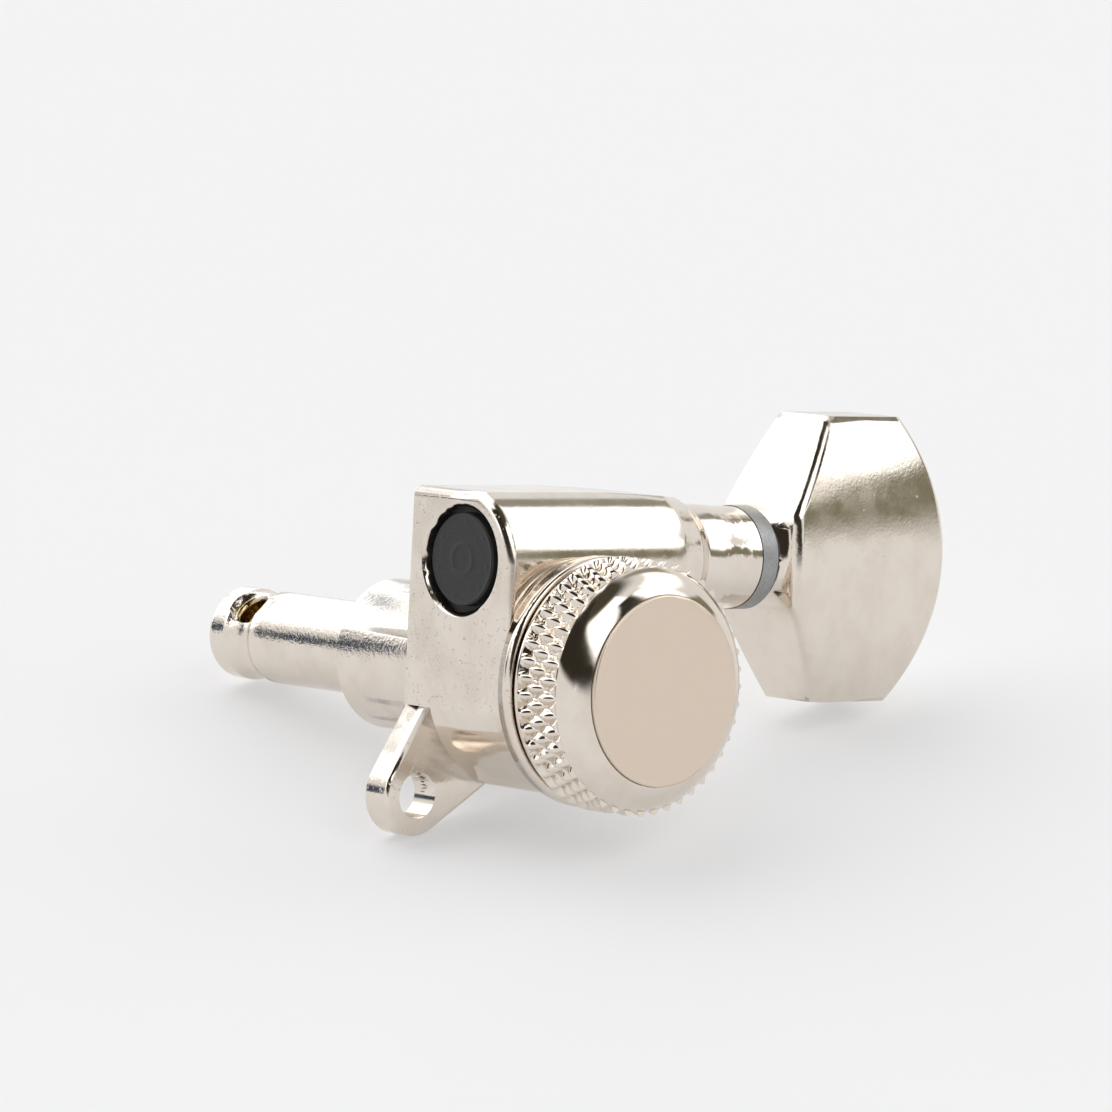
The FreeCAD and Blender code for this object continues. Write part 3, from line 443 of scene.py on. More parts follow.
@dataclass(frozen=True)
class SatinMetal(Finish):
    """Turned or sintered metal without plate."""

    tint: Tint
    rough: float
    dim: float = 0.82
    rough_grain: float = 0.2
    grain_scale: float = 4.0
    grain_span: Span = (0.3, 0.75)
    grain_height: float = 0.006

    def wire_up(self, shade: Shade, surface: bpy.types.Node) -> None:
        """Grain darkens, blurs and dents the metal."""
        x, y, z = shade.machine_place(Place.WORM)
        grain = shade.noise(shade.joined(x, y, z), self.grain_scale, 4.0, 0.6)
        grained = shade.blend(grain.step(*self.grain_span), self.tint, scaled(self.tint, self.dim))
        feed(surface, "Base Color", grained)
        feed(surface, "Metallic", 1.0)
        feed(surface, "Roughness", grain * self.rough_grain + self.rough)
        feed(surface, "Normal", shade.bump(grain * self.grain_height))


@dataclass(frozen=True)
class PaleTable(Finish):
    """The studio table's matt pale surface, with a glow that keeps its shadows light."""

    tint: Tint = (0.90, 0.90, 0.905)
    dim: float = 0.985
    rough: float = 0.9
    gloss: float = 0.1
    cloud_scale: float = 6.0
    glow: Tint = (0.91, 0.91, 0.92)
    glow_share: float = 0.45

    def wire_up(self, shade: Shade, surface: bpy.types.Node) -> None:
        """Very faint clouds in a matt white, and a glow for what is seen or mirrored."""
        tree = shade.tree
        spot = shade.node("ShaderNodeTexCoord", {}, {}, "Object")
        cloud = shade.noise(spot, self.cloud_scale, 2.0)
        feed(surface, "Base Color", shade.blend(cloud, self.tint, scaled(self.tint, self.dim)))
        feed(surface, "Roughness", self.rough)
        feed(surface, "Specular IOR Level", self.gloss)
        output = next(node for node in tree.nodes if node.type == "OUTPUT_MATERIAL")
        seen = shade.node("ShaderNodeLightPath", {}, {}, "Is Camera Ray")
        mirrored = shade.node("ShaderNodeLightPath", {}, {}, "Is Glossy Ray")
        share = seen.math("MAXIMUM", mirrored) * self.glow_share
        glow = shade.node("ShaderNodeEmission", {}, {"Color": (*self.glow, 1.0), "Strength": 1.0})
        lit = Wire(tree, surface.outputs[0])
        mixed = shade.node("ShaderNodeMixShader", {}, {0: share, 1: lit, 2: glow})
        tree.links.new(mixed.socket, output.inputs["Surface"])


def mesh_from_grid(name: str, points: np.ndarray,
                   sharp: Optional[float] = None) -> bpy.types.Object:
    """Make an object from a grid of points in metres whose columns close to a loop.

    The face at (i, j) joins the points (i, j), (i+1, j), (i+1, j+1) and (i, j+1), and the
    last column joins the first.

    Args:
        name: the object's name.
        points: array of shape (rows, columns, 3).
        sharp: the angle in degrees past which an edge stays sharp, or None for none.

    Returns:
        The new object, linked to the scene, with smooth faces.
    """
    rows, columns = points.shape[:2]
    i = np.arange(rows - 1)[:, None] * columns
    j = np.arange(columns)[None, :]
    after_i, after_j = i + columns, (j + 1) % columns
    corners = [i + j, after_i + j, after_i + after_j, i + after_j]
    mesh = bpy.data.meshes.new(name)
    mesh.from_pydata(points.reshape(-1, 3), [], np.stack(corners, axis=-1).reshape(-1, 4))
    return finished(name, mesh, sharp)


def finished(name: str, mesh: bpy.types.Mesh, sharp: Optional[float] = None) -> bpy.types.Object:
    """Merge a mesh's doubles, point its faces outwards, smooth it and link its object.

    Args:
        name: the object's name.
        mesh: the mesh to finish.
        sharp: the angle in degrees past which an edge stays sharp, or None for none.

    Returns:
        The linked object.
    """
    work = bmesh.new()
    work.from_mesh(mesh)
    bmesh.ops.remove_doubles(work, verts=work.verts, dist=MERGE_REACH)
    bmesh.ops.recalc_face_normals(work, faces=work.faces)
    work.to_mesh(mesh)
    work.free()
    mesh.shade_smooth()
    if sharp is not None:
        mesh.set_sharp_from_angle(angle=math.radians(sharp))
    made = bpy.data.objects.new(name, mesh)
    bpy.context.scene.collection.objects.link(made)
    return made


def round_turns(sides: int) -> np.ndarray:
    """Return the turns of points spread evenly round a line, as one row."""
    return np.linspace(0, 2 * math.pi, sides, endpoint=False)[None, :]


def carried_round(profile: np.ndarray, sides: int) -> tuple[np.ndarray, np.ndarray, np.ndarray]:
    """Carry a profile round a line.

    Args:
        profile: array of (station, radius) in millimetres.
        sides: number of points round the line.

    Returns:
        The points' stations, radii and turns, rows along the profile and columns round the line.
    """
    station, radius = (np.repeat(profile[:, k:k + 1], sides, axis=1) for k in range(2))
    return station, radius, round_turns(sides)


def laid_round(station: np.ndarray, radius: np.ndarray, turn: np.ndarray,
               place: Place) -> np.ndarray:
    """Lay points round a line.

    A point at station s, radius r and turn a lies at s along the line, and at
    (r cos a, r sin a) across it.

    Args:
        station: distances along the line in millimetres, rows by columns.
        radius: distances from it.
        turn: turns round it in radians.
        place: the line.

    Returns:
        The points in metres.
    """
    across, side = radius * np.cos(turn), radius * np.sin(turn)
    order = [station, across, side] if place is Place.POST else [side, station, across]
    return AXES.lay(np.stack(order, axis=-1), place)


def arc(centre: Span, radius: float, first: float, last: float, steps: int) -> np.ndarray:
    """Return points on a circle's arc, from one angle to another in degrees."""
    turn = np.radians(np.linspace(first, last, steps))
    return np.array(centre) + radius * np.stack([np.cos(turn), np.sin(turn)], axis=-1)


def bowed(first: Span, last: Span, radius: float, steps: int) -> np.ndarray:
    """Return points on the arc of a radius that joins two points and bows outwards."""
    ends = np.array([first, last], float)
    middle, chord = ends.mean(axis=0), ends[1] - ends[0]
    half = np.hypot(*chord) / 2
    inward = np.array([chord[1], -chord[0]]) / (2 * half)
    centre = middle + inward * math.sqrt(radius ** 2 - half ** 2)
    turns = np.degrees([math.atan2(end[1] - centre[1], end[0] - centre[0]) for end in ends])
    return arc(tuple(centre), radius, turns[0], turns[1], steps)


def dress(piece: bpy.types.Object, material: bpy.types.Material, slot: str, body: str,
          *nodes: str) -> None:
    """Give a piece its material and body, and let it stand for CAD nodes."""
    piece.data.materials.clear()
    piece.data.materials.append(material)
    if nodes:
        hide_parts(*nodes)
    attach(piece, body)
    log.info("%s rides on %s", piece.name, body)


def places(mesh: bpy.types.Mesh) -> np.ndarray:
    """Return a mesh's vertices in metres."""
    spots = np.empty(len(mesh.vertices) * 3, np.float32)
    mesh.vertices.foreach_get("co", spots)
    return spots.reshape(-1, 3).astype(float)


def drawn(piece: bpy.types.Object) -> bpy.types.Mesh:
    """Return a new mesh of a piece with its modifiers applied."""
    depsgraph = bpy.context.evaluated_depsgraph_get()
    return bpy.data.meshes.new_from_object(piece.evaluated_get(depsgraph))


def corner_values(mesh: bpy.types.Mesh) -> tuple[np.ndarray, np.ndarray]:
    """Return each face corner's vertex and its smooth normal."""
    vertex = np.empty(len(mesh.loops), np.int32)
    mesh.loops.foreach_get("vertex_index", vertex)
    normal = np.empty(len(mesh.loops) * 3, np.float32)
    mesh.corner_normals.foreach_get("vector", normal)
    return vertex, normal.reshape(-1, 3).astype(float)


def in_wide_plane(flat: np.ndarray, first: np.ndarray, size: np.ndarray,
                  least: float) -> np.ndarray:
    """Tell which triangles lie in one plane whose whole area is large.

    Args:
        flat: each triangle's normal.
        first: each triangle's first corner, in millimetres.
        size: each triangle's area, in square millimetres.
        least: the area that the plane has to pass.

    Returns:
        True for each triangle of such a plane.
    """
    reach = (flat * first).sum(axis=1, keepdims=True)
    planes = np.concatenate([np.round(flat, 2), np.round(reach, 1)], axis=1)
    _, group = np.unique(planes, axis=0, return_inverse=True)
    group = group.reshape(-1)
    return np.bincount(group, weights=size)[group] > least


def true_normals(piece: bpy.types.Object, flat_area: float) -> None:
    """Give a triangle mesh the normals of the turned and flat surfaces that it stands for.

    Flat faces lead where they meet fillets, and triangles in one plane whose area is large
    enough keep that plane's own normal. A triangle belongs to a surface turned round a line
    where its normal has no part across the line's radius and its corners lie in one cone
    with it. There each corner's normal is its own radius, tilted along the line as the
    smooth normal is.

    Args:
        piece: the piece, all of triangles.
        flat_area: the least area of a flat face, in square millimetres.
    """
    even = piece.modifiers.new("even", "WEIGHTED_NORMAL")
    even.keep_sharp = True
    even.weight = 100
    baked = drawn(piece)
    piece.modifiers.remove(even)
    vertex, normal = corner_values(baked)
    bpy.data.meshes.remove(baked)
    mesh = piece.data
    spots = places(mesh) / MM
    flat = np.empty(len(mesh.polygons) * 3, np.float32)
    mesh.polygons.foreach_get("normal", flat)
    flat = flat.reshape(-1, 3).astype(float)
    corners = vertex.reshape(-1, 3)
    size = np.empty(len(mesh.polygons), np.float32)
    mesh.polygons.foreach_get("area", size)
    wide = np.repeat(in_wide_plane(flat, spots[corners[:, 0]], size / MM ** 2, flat_area), 3)
    normal[wide] = np.repeat(flat, 3, axis=0)[wide]
    lines = ((AXES.origin(Place.POST), AXES.along_post),
             (AXES.origin(Place.WORM), AXES.along_worm), (SCREW_HOLE, AXES.along_post))
    for point, axis in lines:
        away = spots - point / MM
        station = away @ axis
        radius_way = away - station[:, None] * axis
        radius = np.linalg.norm(radius_way, axis=1)
        radius_way /= np.maximum(radius, NEVER_ZERO)[:, None]
        middle = radius_way[corners].mean(axis=1)
        middle /= np.maximum(np.linalg.norm(middle, axis=1), NEVER_ZERO)[:, None]
        outward = (flat * middle).sum(axis=1)
        along = flat @ axis
        sideways = np.abs((flat * np.cross(axis, middle)).sum(axis=1))
        depth = radius[corners] * outward[:, None] + station[corners] * along[:, None]
        turned = (sideways < SIDE_LEAN) & (np.ptp(depth, axis=1) < CONE_DEPTH)
        turned &= np.abs(along) < END_FACE
        chosen = np.repeat(turned, 3)
        sign = np.repeat(np.sign(outward), 3)[chosen, None]
        tilt = np.clip(normal[chosen] @ axis, -1, 1)[:, None]
        normal[chosen] = sign * np.sqrt(1 - tilt ** 2) * radius_way[vertex[chosen]] + tilt * axis
    mesh.normals_split_custom_set(normal.tolist())


def smooth_copy(node: str, name: str, sharp: float, flat_area: float,
                reshape: Optional[Callable[[bpy.types.Mesh], None]]) -> bpy.types.Object:
    """Copy a CAD node's mesh with its doubles merged and its faces smoothed.

    Args:
        node: the CAD node.
        name: the new piece's name.
        sharp: the angle in degrees past which an edge stays sharp.
        flat_area: the least area of a face that is kept flat, in square millimetres.
        reshape: changes the copy's mesh before it is smoothed, or None.

    Returns:
        The new piece.
    """
    mesh = frame["nodes"][node].data.copy()
    if reshape is not None:
        reshape(mesh)
    piece = finished(name, mesh, sharp)
    true_normals(piece, flat_area)
    return piece


@dataclass
class TubeShoulder:
    """The housing's tube where it narrows to its neck, with the solid's straight runs eased."""

    stations: tuple[float, ...] = (7.6, 9.6, 12.9, 15.6)
    radii: tuple[float, ...] = (4.65, 4.1, 3.55, 3.35)
    cuts: int = 26
    early: float = 0.6
    inner: float = 3.3

    def ease(self, mesh: bpy.types.Mesh) -> None:
        """Cut the shoulder into rings and move them out to a smooth S from tube to neck.

        With t the share of the way from the first station to the last, to the power early,
        the radius falls by 3 t^2 - 2 t^3 of the whole drop.
        """
        work = bmesh.new()
        work.from_mesh(mesh)
        bmesh.ops.remove_doubles(work, verts=work.verts, dist=MERGE_REACH)
        first, last = self.stations[0], self.stations[-1]
        for station in np.linspace(first, last, self.cuts + 2)[1:-1]:
            geometry = work.verts[:] + work.edges[:] + work.faces[:]
            point = AXES.lay(np.array([0.0, station, 0.0]), Place.WORM)
            bmesh.ops.bisect_plane(work, geom=geometry, dist=CUT_REACH, plane_co=point,
                                   plane_no=AXES.along_worm)
        bmesh.ops.triangulate(work, faces=work.faces)
        work.to_mesh(mesh)
        work.free()
        spots = places(mesh)
        away = (spots - AXES.worm_point) / MM
        station = away @ AXES.along_worm
        across = away - station[:, None] * AXES.along_worm
        radius = np.linalg.norm(across, axis=1)
        share = np.clip((station - first) / (last - first), 0, 1) ** self.early
        drop = self.radii[0] - self.radii[-1]
        smooth = self.radii[0] - drop * (3 * share ** 2 - 2 * share ** 3)
        straight = np.interp(station, self.stations, self.radii)
        moved = (station > first) & (station < last) & (radius > self.inner)
        growth = np.where(moved, smooth / straight - 1, 0)
        spots = spots + across * growth[:, None] * MM
        mesh.vertices.foreach_set("co", spots.astype(np.float32).ravel())
        mesh.update()


@dataclass
class PostFront:
    """The post's visible end: rounded head, hollowed waist with the string hole, and shank."""

    reach: float = 25.6
    radius: float = 3.05
    tip_round: float = 0.45
    waist_front: float = 23.8
    waist_back: float = 21.2
    waist_curve: float = 2.97
    split: float = 8.0
    bore_radius: float = 0.79
    bore_end: float = 23.35
    hole_radius: float = 1.1
    hole_turn: float = 43.0
    hole_round: float = 0.4
    hole_lip: float = 2.1
    hole_over: float = 1.0
    sides: int = 180
    hole_sides: int = 72
    face_steps: int = 6
    tip_steps: int = 12
    head_steps: int = 6
    waist_steps: int = 36
    shank_steps: int = 14
    flare_steps: int = 9

    @property
    def middle(self) -> float:
        """Distance from the seat to the waist's middle, where the string hole is."""
        return (self.waist_front + self.waist_back) / 2

    def profile(self) -> np.ndarray:
        """Outline from the tip's middle to the split and back through the pin's bore."""
        half = (self.waist_front - self.waist_back) / 2
        sweep = math.degrees(math.asin(half / self.waist_curve))
        rise = math.sqrt(self.waist_curve ** 2 - half ** 2)
        flat, round_end = self.radius - self.tip_round, self.tip_round - self.reach
        tip = arc((round_end, flat), self.tip_round, 180, 90, self.tip_steps)
        waist = arc((-self.middle, self.radius + rise), self.waist_curve,
                    270 - sweep, 270 + sweep, self.waist_steps)
        face = [[-self.reach, r] for r in np.linspace(0, flat, self.face_steps)[:-1]]
        along_head = np.linspace(round_end, -self.waist_front, self.head_steps)[1:-1]
        along_shank = np.linspace(-self.waist_back, -self.split, self.shank_steps)[1:]
        head = [[x, self.radius] for x in along_head]
        shank = [[x, self.radius] for x in along_shank]
        bore = [[-self.split, self.bore_radius], [-self.bore_end, self.bore_radius],
                [-self.bore_end, 0.0]]
        return np.concatenate([face, tip, head, waist, shank, bore])

    def cutter(self) -> np.ndarray:
        """Surface of the string hole: a bore whose mouths flare with a quarter round."""
        mouth, over = self.hole_radius + self.hole_round, self.radius + self.hole_over
        flare = arc((self.hole_lip, mouth), self.hole_round, -90, 0, self.flare_steps)
        half = np.concatenate([[[0.0, self.hole_radius]], flare, [[over, mouth], [over, 0.0]]])
        whole = np.concatenate([half[::-1] * (-1, 1), half[1:]])
        turn = round_turns(self.hole_sides)[..., None]
        lean = math.radians(self.hole_turn)
        along = np.array([0.0, -math.sin(lean), math.cos(lean)])
        side = np.array([0.0, math.cos(lean), math.sin(lean)])
        ahead = np.array([1.0, 0.0, 0.0])
        reach, radius = whole[:, 0:1, None], whole[:, 1:2, None]
        points = reach * along + radius * (np.cos(turn) * ahead + np.sin(turn) * side)
        return AXES.lay(points - self.middle * ahead, Place.POST)

    def front_mesh(self) -> bpy.types.Mesh:
        """Turn the profile and cut the string hole through it."""
        grid = laid_round(*carried_round(self.profile(), self.sides), Place.POST)
        post = mesh_from_grid("post_front", grid)
        hole = mesh_from_grid("hole_cutter", self.cutter())
        cut = post.modifiers.new("hole", "BOOLEAN")
        cut.operation = "DIFFERENCE"
        cut.solver = "EXACT"
        cut.object = hole
        bpy.context.view_layer.update()
        mesh = drawn(post)
        for used in (post, hole):
            left = used.data
            bpy.data.objects.remove(used)
            bpy.data.meshes.remove(left)
        return mesh

    def rebuild(self, mesh: bpy.types.Mesh) -> None:
        """Cut the solid's post off at the split, inside the hub, and put the front there."""
        work = bmesh.new()
        work.from_mesh(mesh)
        bmesh.ops.remove_doubles(work, verts=work.verts, dist=MERGE_REACH)
        point = AXES.lay(np.array([-self.split, 0.0, 0.0]), Place.POST)
        geometry = work.verts[:] + work.edges[:] + work.faces[:]
        cut = bmesh.ops.bisect_plane(work, geom=geometry, dist=CUT_REACH, plane_co=point,
                                     plane_no=AXES.along_post, clear_inner=True)
        rim = [part for part in cut["geom_cut"] if isinstance(part, bmesh.types.BMEdge)]
        bmesh.ops.triangle_fill(work, edges=rim, use_beauty=True)
        front = self.front_mesh()
        work.from_mesh(front)
        bmesh.ops.triangulate(work, faces=work.faces)
        work.to_mesh(mesh)
        work.free()
        bpy.data.meshes.remove(front)


@dataclass
class EndPlug:
    """Moulded plug in the mouth of the worm's bore, with a dark gap round its face."""

    face: float = -7.38
    back: float = -5.4
    face_radius: float = 2.92
    skirt_radius: float = 2.98
    body_radius: float = 3.345
    skirt: float = 0.85
    edge: float = 0.10
    ring_radius: float = 0.95
    ring_width: float = 0.16
    ring_height: float = 0.05
    rim_width: float = 0.22
    nib_turns: tuple[float, ...] = (0.1, 0.9, 1.7, 2.3, 3.4, 4.4, 5.3)
    nib_radius: float = 2.35
    nib_size: float = 0.10
    nib_height: float = 0.06
    sides: int = 96
    face_steps: int = 56
    edge_steps: int = 8

    def face_height(self, radius: np.ndarray, turn: np.ndarray) -> np.ndarray:
        """Height of the face over its plane: a ring, a raised rim and small round nibs.

        Each is a bell curve, of the distance from a radius or from a nib's middle.
        """
        ring = self.ring_height * np.exp(-((radius - self.ring_radius) / self.ring_width) ** 2)
        rim = self.ring_height * np.exp(-((radius - self.face_radius) / self.rim_width) ** 2)
        turns = np.array(self.nib_turns)[:, None, None]
        away = ((radius * np.cos(turn) - self.nib_radius * np.cos(turns)) ** 2
                + (radius * np.sin(turn) - self.nib_radius * np.sin(turns)) ** 2)
        return ring + rim + self.nib_height * np.exp(-away / self.nib_size ** 2).sum(axis=0)

    def build(self, plastic: bpy.types.Material) -> None:
        """Make the plug as one grid: its face, skirt, step, body and closed back."""
        radii = np.linspace(0.0, self.face_radius - self.edge, self.face_steps)
        edge = arc((self.face + self.edge, self.face_radius - self.edge), self.edge,
                   180, 90, self.edge_steps)
        step = self.face + self.skirt
        tail = np.array([[step, self.skirt_radius], [step, self.body_radius],
                         [self.back, self.body_radius], [self.back, 0.0]])
        face = np.stack([np.full(radii.size, self.face), radii], axis=-1)
        profile = np.concatenate([face, edge, tail])
        station, radius, turn = carried_round(profile, self.sides)
        on_face = (np.arange(len(profile)) < radii.size)[:, None]
        station = station - np.where(on_face, self.face_height(radius, turn), 0.0)
        grid = laid_round(station, radius, turn, Place.WORM)
        dress(mesh_from_grid("moulded_plug", grid, TURNED_SHARP), plastic, "cap_plastic",
              "casing", "end_plug")


@dataclass
class Thumbwheel:
    """Knurled wheel behind the housing: rim, staggered rows of points and a domed shoulder."""

    front: float = 10.6
    rim_radius: float = 7.85
    rim_width: float = 0.65
    radius: float = 8.1
    knurl_width: float = 3.2
    knurl_depth: float = 0.46
    knurl_swell: float = 1.0
    knurl_rows: float = 1.5
    knurl_round: int = 44
    knurl_steps: int = 48
    shoulder: float = 1.4
    shoulder_radius: float = 7.75
    shoulder_curve: float = 2.6
    disc_radius: float = 6.05
    disc_seat: float = 15.35
    disc_gap: float = 0.01
    bore_radius: float = 2.64
    rim_edge: float = 0.15
    rim_chamfer: float = 0.05
    rim_step: float = 0.04
    groove_width: float = 0.06
    knurl_start: float = 0.10
    knob_sides: int = 16
    dome_gap: float = 0.03
    dome_steps: int = 34

    @property
    def back(self) -> float:
        """Station where the knurl ends and the shoulder starts."""
        return self.front + self.rim_width + self.knurl_width

    def knurl(self, station: np.ndarray, radius: np.ndarray, turn: np.ndarray) -> np.ndarray:
        """Depth of the knurl's crossing grooves.

        With u the turn in points and v the station in pairs of rows, one family of grooves
        follows each whole number of u + v and the other of u - v. Between them stands a
        rounded knob: its rise is sin(pi (u + v)) sin(pi (u - v)) to the power swell.
        """
        start = self.front + self.rim_width
        v = (station - start) / self.knurl_width * self.knurl_rows
        u = turn / (2 * math.pi) * self.knurl_round
        rise = np.sin(math.pi * np.mod(u + v, 1)) * np.sin(math.pi * np.mod(u - v, 1))
        groove = 1 - rise ** self.knurl_swell
        inside = np.clip((station - start) / self.knurl_start, 0, 1)
        on_top = radius > (self.rim_radius + self.radius) / 2
        return self.knurl_depth * groove * inside * on_top

    def profile(self) -> np.ndarray:
        """Outline from the bore, over the rim, knurl and shoulder, to the disc's seat."""
        start, back, end = self.front + self.rim_width, self.back, self.back + self.shoulder
        steps = np.linspace(start, back, self.knurl_steps + 1)
        knurl = np.stack([steps, np.full(steps.size, self.radius)], axis=-1)
        dome = bowed((back, self.shoulder_radius), (end, self.disc_radius + self.dome_gap),
                     self.shoulder_curve, self.dome_steps)
        front, rim, low = self.front, self.rim_radius, self.rim_radius - self.rim_chamfer
        lead = np.array([[front, self.bore_radius], [front, rim - self.rim_edge],
                         [front + self.rim_step, low], [front + self.rim_edge, rim],
                         [start - self.groove_width, rim], [start, low]])
        tail = np.array([[self.disc_seat, self.disc_radius + self.disc_gap],
                         [self.disc_seat, self.bore_radius], [front, self.bore_radius]])
        return np.concatenate([lead, knurl, dome, tail])

    def build(self, plate: bpy.types.Material) -> None:
        """Make the wheel's surface and dress it."""
        station, radius, turn = carried_round(self.profile(), self.knurl_round * self.knob_sides)
        grid = laid_round(station, radius - self.knurl(station, radius, turn), turn, Place.POST)
        dress(mesh_from_grid("knurled_thumbwheel", grid, TURNED_SHARP), plate, "plated_wheel",
              "wheel", "thumbwheel")


SCREEN = (1.95, 1.95, 1.95)
ROOM = (0.035, 0.030, 0.022)


@dataclass(frozen=True)
class Patch:
    """A patch of the surroundings: a range of azimuths and heights, with soft edges."""

    azimuths: Span
    heights: Span
    tint: Tint
    soft: float = 5.0
    lean_low: float = 0.0
    lean_high: float = 0.0

    def share(self, azimuth: Wire, height: Wire) -> Wire:
        """Return 1 inside the patch and 0 outside, from how far inside its nearest edge is.

        The azimuth's way from the patch's middle is folded to half a turn either side, and
        the lower and upper edges rise with it.

        Args:
            azimuth: the azimuth of the way looked in, in degrees.
            height: its height over the horizon, in degrees.

        Returns:
            The patch's share.
        """
        middle = (self.azimuths[0] + self.azimuths[1]) / 2
        half = (self.azimuths[1] - self.azimuths[0]) / 2
        aside = math_node(azimuth.tree, "WRAP", azimuth - middle, 180.0, -180.0)
        low = height - self.heights[0]
        high = self.heights[1] - height
        if self.lean_low:
            low = low - aside * self.lean_low
        if self.lean_high:
            high = high + aside * self.lean_high
        inside = (half - aside.math("ABSOLUTE")).math("MINIMUM", low.math("MINIMUM", high))
        return inside.step(-self.soft, self.soft)


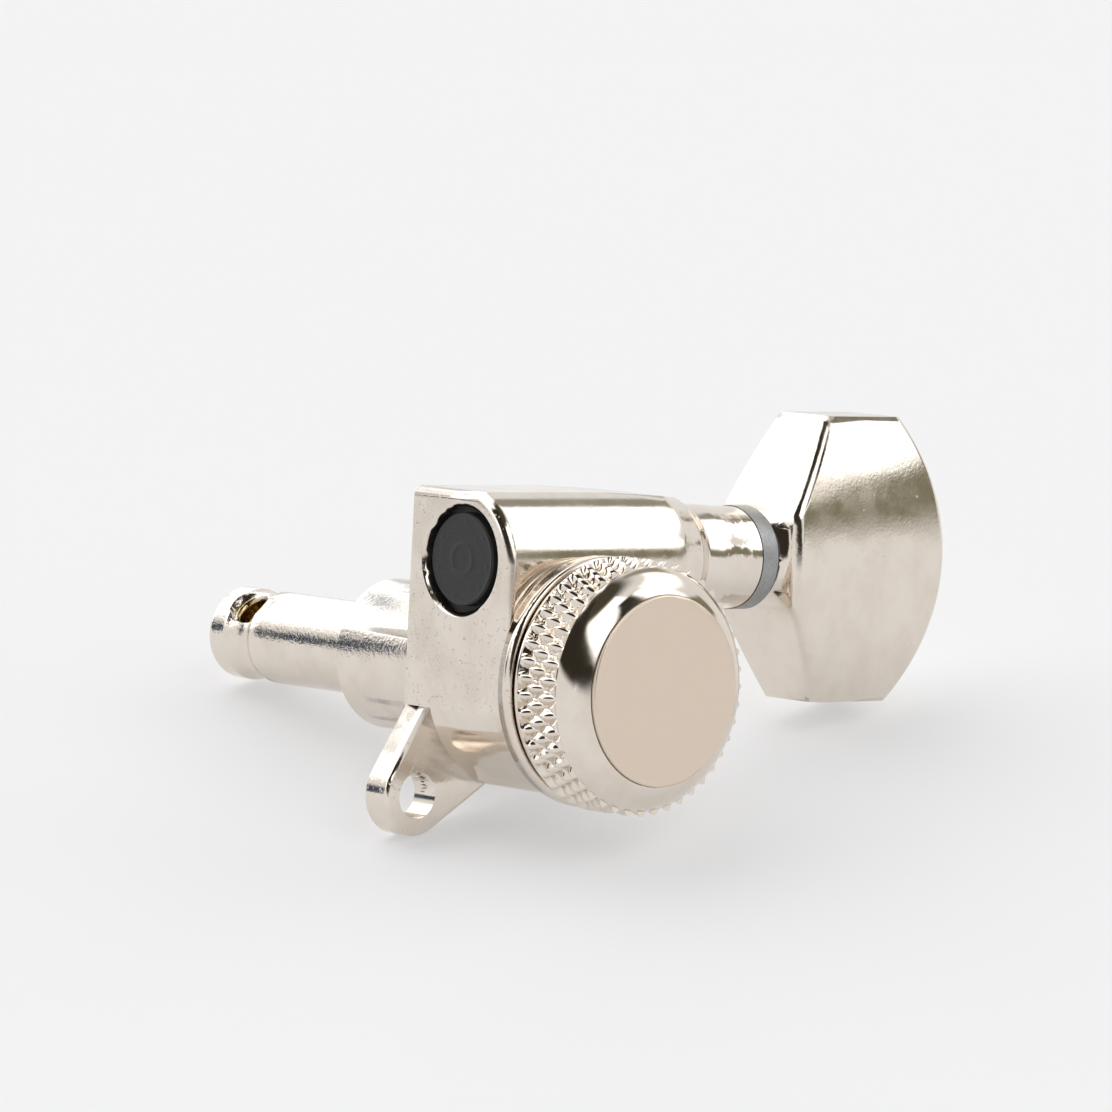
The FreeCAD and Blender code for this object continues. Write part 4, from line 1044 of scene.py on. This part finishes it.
@dataclass
class Studio:
    """The camera, the world that gives the light, and the table."""

    azimuth: float = 47.08
    elevation: float = 21.10
    roll: float = -0.29
    distance: float = 456.5
    target: tuple[float, float, float] = (0.738, 4.588, 6.695)
    lens: float = 230.05
    sensor: float = 36.0
    near: float = 0.01
    table_width: float = 6.0
    sweep_tint: Tint = (0.90, 0.90, 0.90)
    ceiling_tint: Tint = (0.07, 0.065, 0.045)
    backdrop_tint: Tint = (0.93, 0.93, 0.94)
    sweep_top: Span = (52.0, 70.0)
    patches: tuple[Patch, ...] = (
        Patch((-134.0, -14.0), (24.0, 76.0), SCREEN),
        Patch((-134.0, -69.0), (-3.0, 60.0), SCREEN, 3.0),
        Patch((55.0, 126.0), (15.0, 63.0), SCREEN, 3.0),
        Patch((146.0, 190.0), (22.0, 46.0), SCREEN, 3.0),
        Patch((124.0, 150.0), (7.0, 42.0), SCREEN, 3.0),
        Patch((-32.0, 118.0), (19.0, 71.0), ROOM, 4.0, -0.25, -1.0),
        Patch((115.0, 131.0), (17.0, 44.0), ROOM, 3.0),
        Patch((192.0, 206.0), (24.0, 60.0), (0.34, 0.33, 0.28), 2.5),
        Patch((121.0, 168.0), (2.0, 12.0), (0.24, 0.23, 0.16), 1.5),
        Patch((-113.0, -98.0), (9.0, 21.0), (0.45, 0.52, 0.62), 3.0),
        Patch((-68.0, -46.0), (-2.0, 12.0), (0.05, 0.07, 0.10), 3.0))

    def add_camera(self) -> None:
        """Place the camera on its direction from the target, rolled about its view."""
        azimuth, elevation = math.radians(self.azimuth), math.radians(self.elevation)
        level = math.cos(elevation)
        back = Vector((math.sin(azimuth) * level, -math.cos(azimuth) * level,
                       math.sin(elevation)))
        made = bpy.data.objects.new("camera", bpy.data.cameras.new("camera"))
        made.data.lens = self.lens
        made.data.sensor_width = self.sensor
        made.data.clip_start = self.near
        turn = (-back).to_track_quat("-Z", "Y").to_matrix().to_4x4()
        turn = turn @ Matrix.Rotation(math.radians(-self.roll), 4, "Z")
        spot = (Vector(self.target) + back * self.distance) * MM
        made.matrix_world = Matrix.Translation(spot) @ turn
        bpy.context.scene.collection.objects.link(made)
        bpy.context.scene.camera = made

    def add_world(self) -> None:
        """Light from all round: large pale screens with dark gaps between them.

        The way to a point of the surroundings is given by its azimuth, from the front to the
        right in degrees, and its height over the horizon in degrees. Up to sweep_top the pale
        table's sweep goes on, and over it is the dim ceiling. The patches are laid over both in
        their order.
        """
        world = bpy.data.worlds.new("studio")
        world.use_nodes = True
        tree = world.node_tree
        tree.nodes.clear()
        shade = Shade(tree)
        way = shade.node("ShaderNodeTexCoord", {}, {}, "Generated")
        x, y, z = (shade.node("ShaderNodeSeparateXYZ", {}, {0: way}, index) for index in range(3))
        azimuth = math_node(tree, "ARCTAN2", x, y * -1.0) * math.degrees(1.0)
        height = z.math("ARCSINE") * math.degrees(1.0)
        colour = shade.blend(height.step(*self.sweep_top), self.sweep_tint, self.ceiling_tint)
        for patch in self.patches:
            colour = shade.blend(patch.share(azimuth, height), colour, patch.tint)
        seen = shade.node("ShaderNodeLightPath", {}, {}, "Is Camera Ray")
        colour = shade.blend(seen, colour, self.backdrop_tint)
        glow = shade.node("ShaderNodeBackground", {}, {"Color": colour, "Strength": 1.0})
        output = tree.nodes.new("ShaderNodeOutputWorld")
        tree.links.new(glow.socket, output.inputs["Surface"])
        bpy.context.scene.world = world

    def add_table(self, height: float) -> None:
        """Lay the table's sheet under the machine."""
        half = self.table_width / 2
        mesh = bpy.data.meshes.new("table")
        mesh.from_pydata([(-half, -half, height), (half, -half, height), (half, half, height),
                          (-half, half, height)], [], [(0, 1, 2, 3)])
        made = bpy.data.objects.new("table", mesh)
        bpy.context.scene.collection.objects.link(made)
        mesh.materials.append(PaleTable().material("pale_table"))

    def build(self) -> None:
        """Set up the whole studio."""
        scene = bpy.context.scene
        scene.view_settings.view_transform = "Standard"
        self.add_camera()
        self.add_world()
        self.add_table(CAD_BOX[0].z)


def dress_rest(finishes: dict[str, bpy.types.Material]) -> None:
    """Dress each CAD node that no other piece replaces."""
    slots = {part["node"]: part["material_slot"] for part in frame["record"]["subparts"]}
    bodies = {node: body for body, nodes in frame["record"]["behaviour"]["bodies"].items()
              for node in nodes}
    reshapers = {"housing": TubeShoulder().ease, "string_post": PostFront().rebuild}
    sharpness = {"housing": 34.0, "string_post": 20.0}
    flat_areas = {"housing": 12.0}
    for node in frame["nodes"]:
        if node in ("thumbwheel", "end_plug"):
            continue
        piece = smooth_copy(node, f"{node}_piece", sharpness.get(node, SOLID_SHARP),
                            flat_areas.get(node, math.inf), reshapers.get(node))
        dress(piece, finishes[slots[node]], slots[node], bodies[node], node)


def main() -> None:
    """Build the machine's pieces in order, then the studio."""
    logging.basicConfig(level=logging.INFO)
    finishes = {
        "plated_housing": PlatedNickel().material("plated_housing"),
        "plated_post": TurnedNickel().material("plated_post"),
        "plated_wheel": TurnedNickel(rough=0.05, ring_height=0.0006, wave_height=0.002,
                                     mottle_height=0.0006).material("plated_wheel"),
        "plated_button": PlatedNickel(pit_height=0.001, mottle_height=0.004, hub_mottle=0.0,
                                      place=Place.WORM).material("plated_button"),
        "brushed_disc": BrushedDisc().material("brushed_disc"),
        "cap_plastic": MouldedCap().material("cap_plastic"),
        "gear_brass": SatinMetal((0.70, 0.50, 0.22), 0.3).material("gear_brass"),
        "bearing_bronze": SatinMetal((0.50, 0.34, 0.18), 0.4).material("bearing_bronze"),
        "steel": SatinMetal((0.50, 0.50, 0.50), 0.3).material("steel"),
        "grey_washer_steel": SatinMetal((0.40, 0.41, 0.41), 0.35).material("grey_washer_steel"),
        "dark_steel": SatinMetal((0.10, 0.10, 0.105), 0.4).material("dark_steel"),
    }
    Thumbwheel().build(finishes["plated_wheel"])
    EndPlug().build(finishes["cap_plastic"])
    dress_rest(finishes)
    Studio().build()


if __name__ == "__main__":
    main()
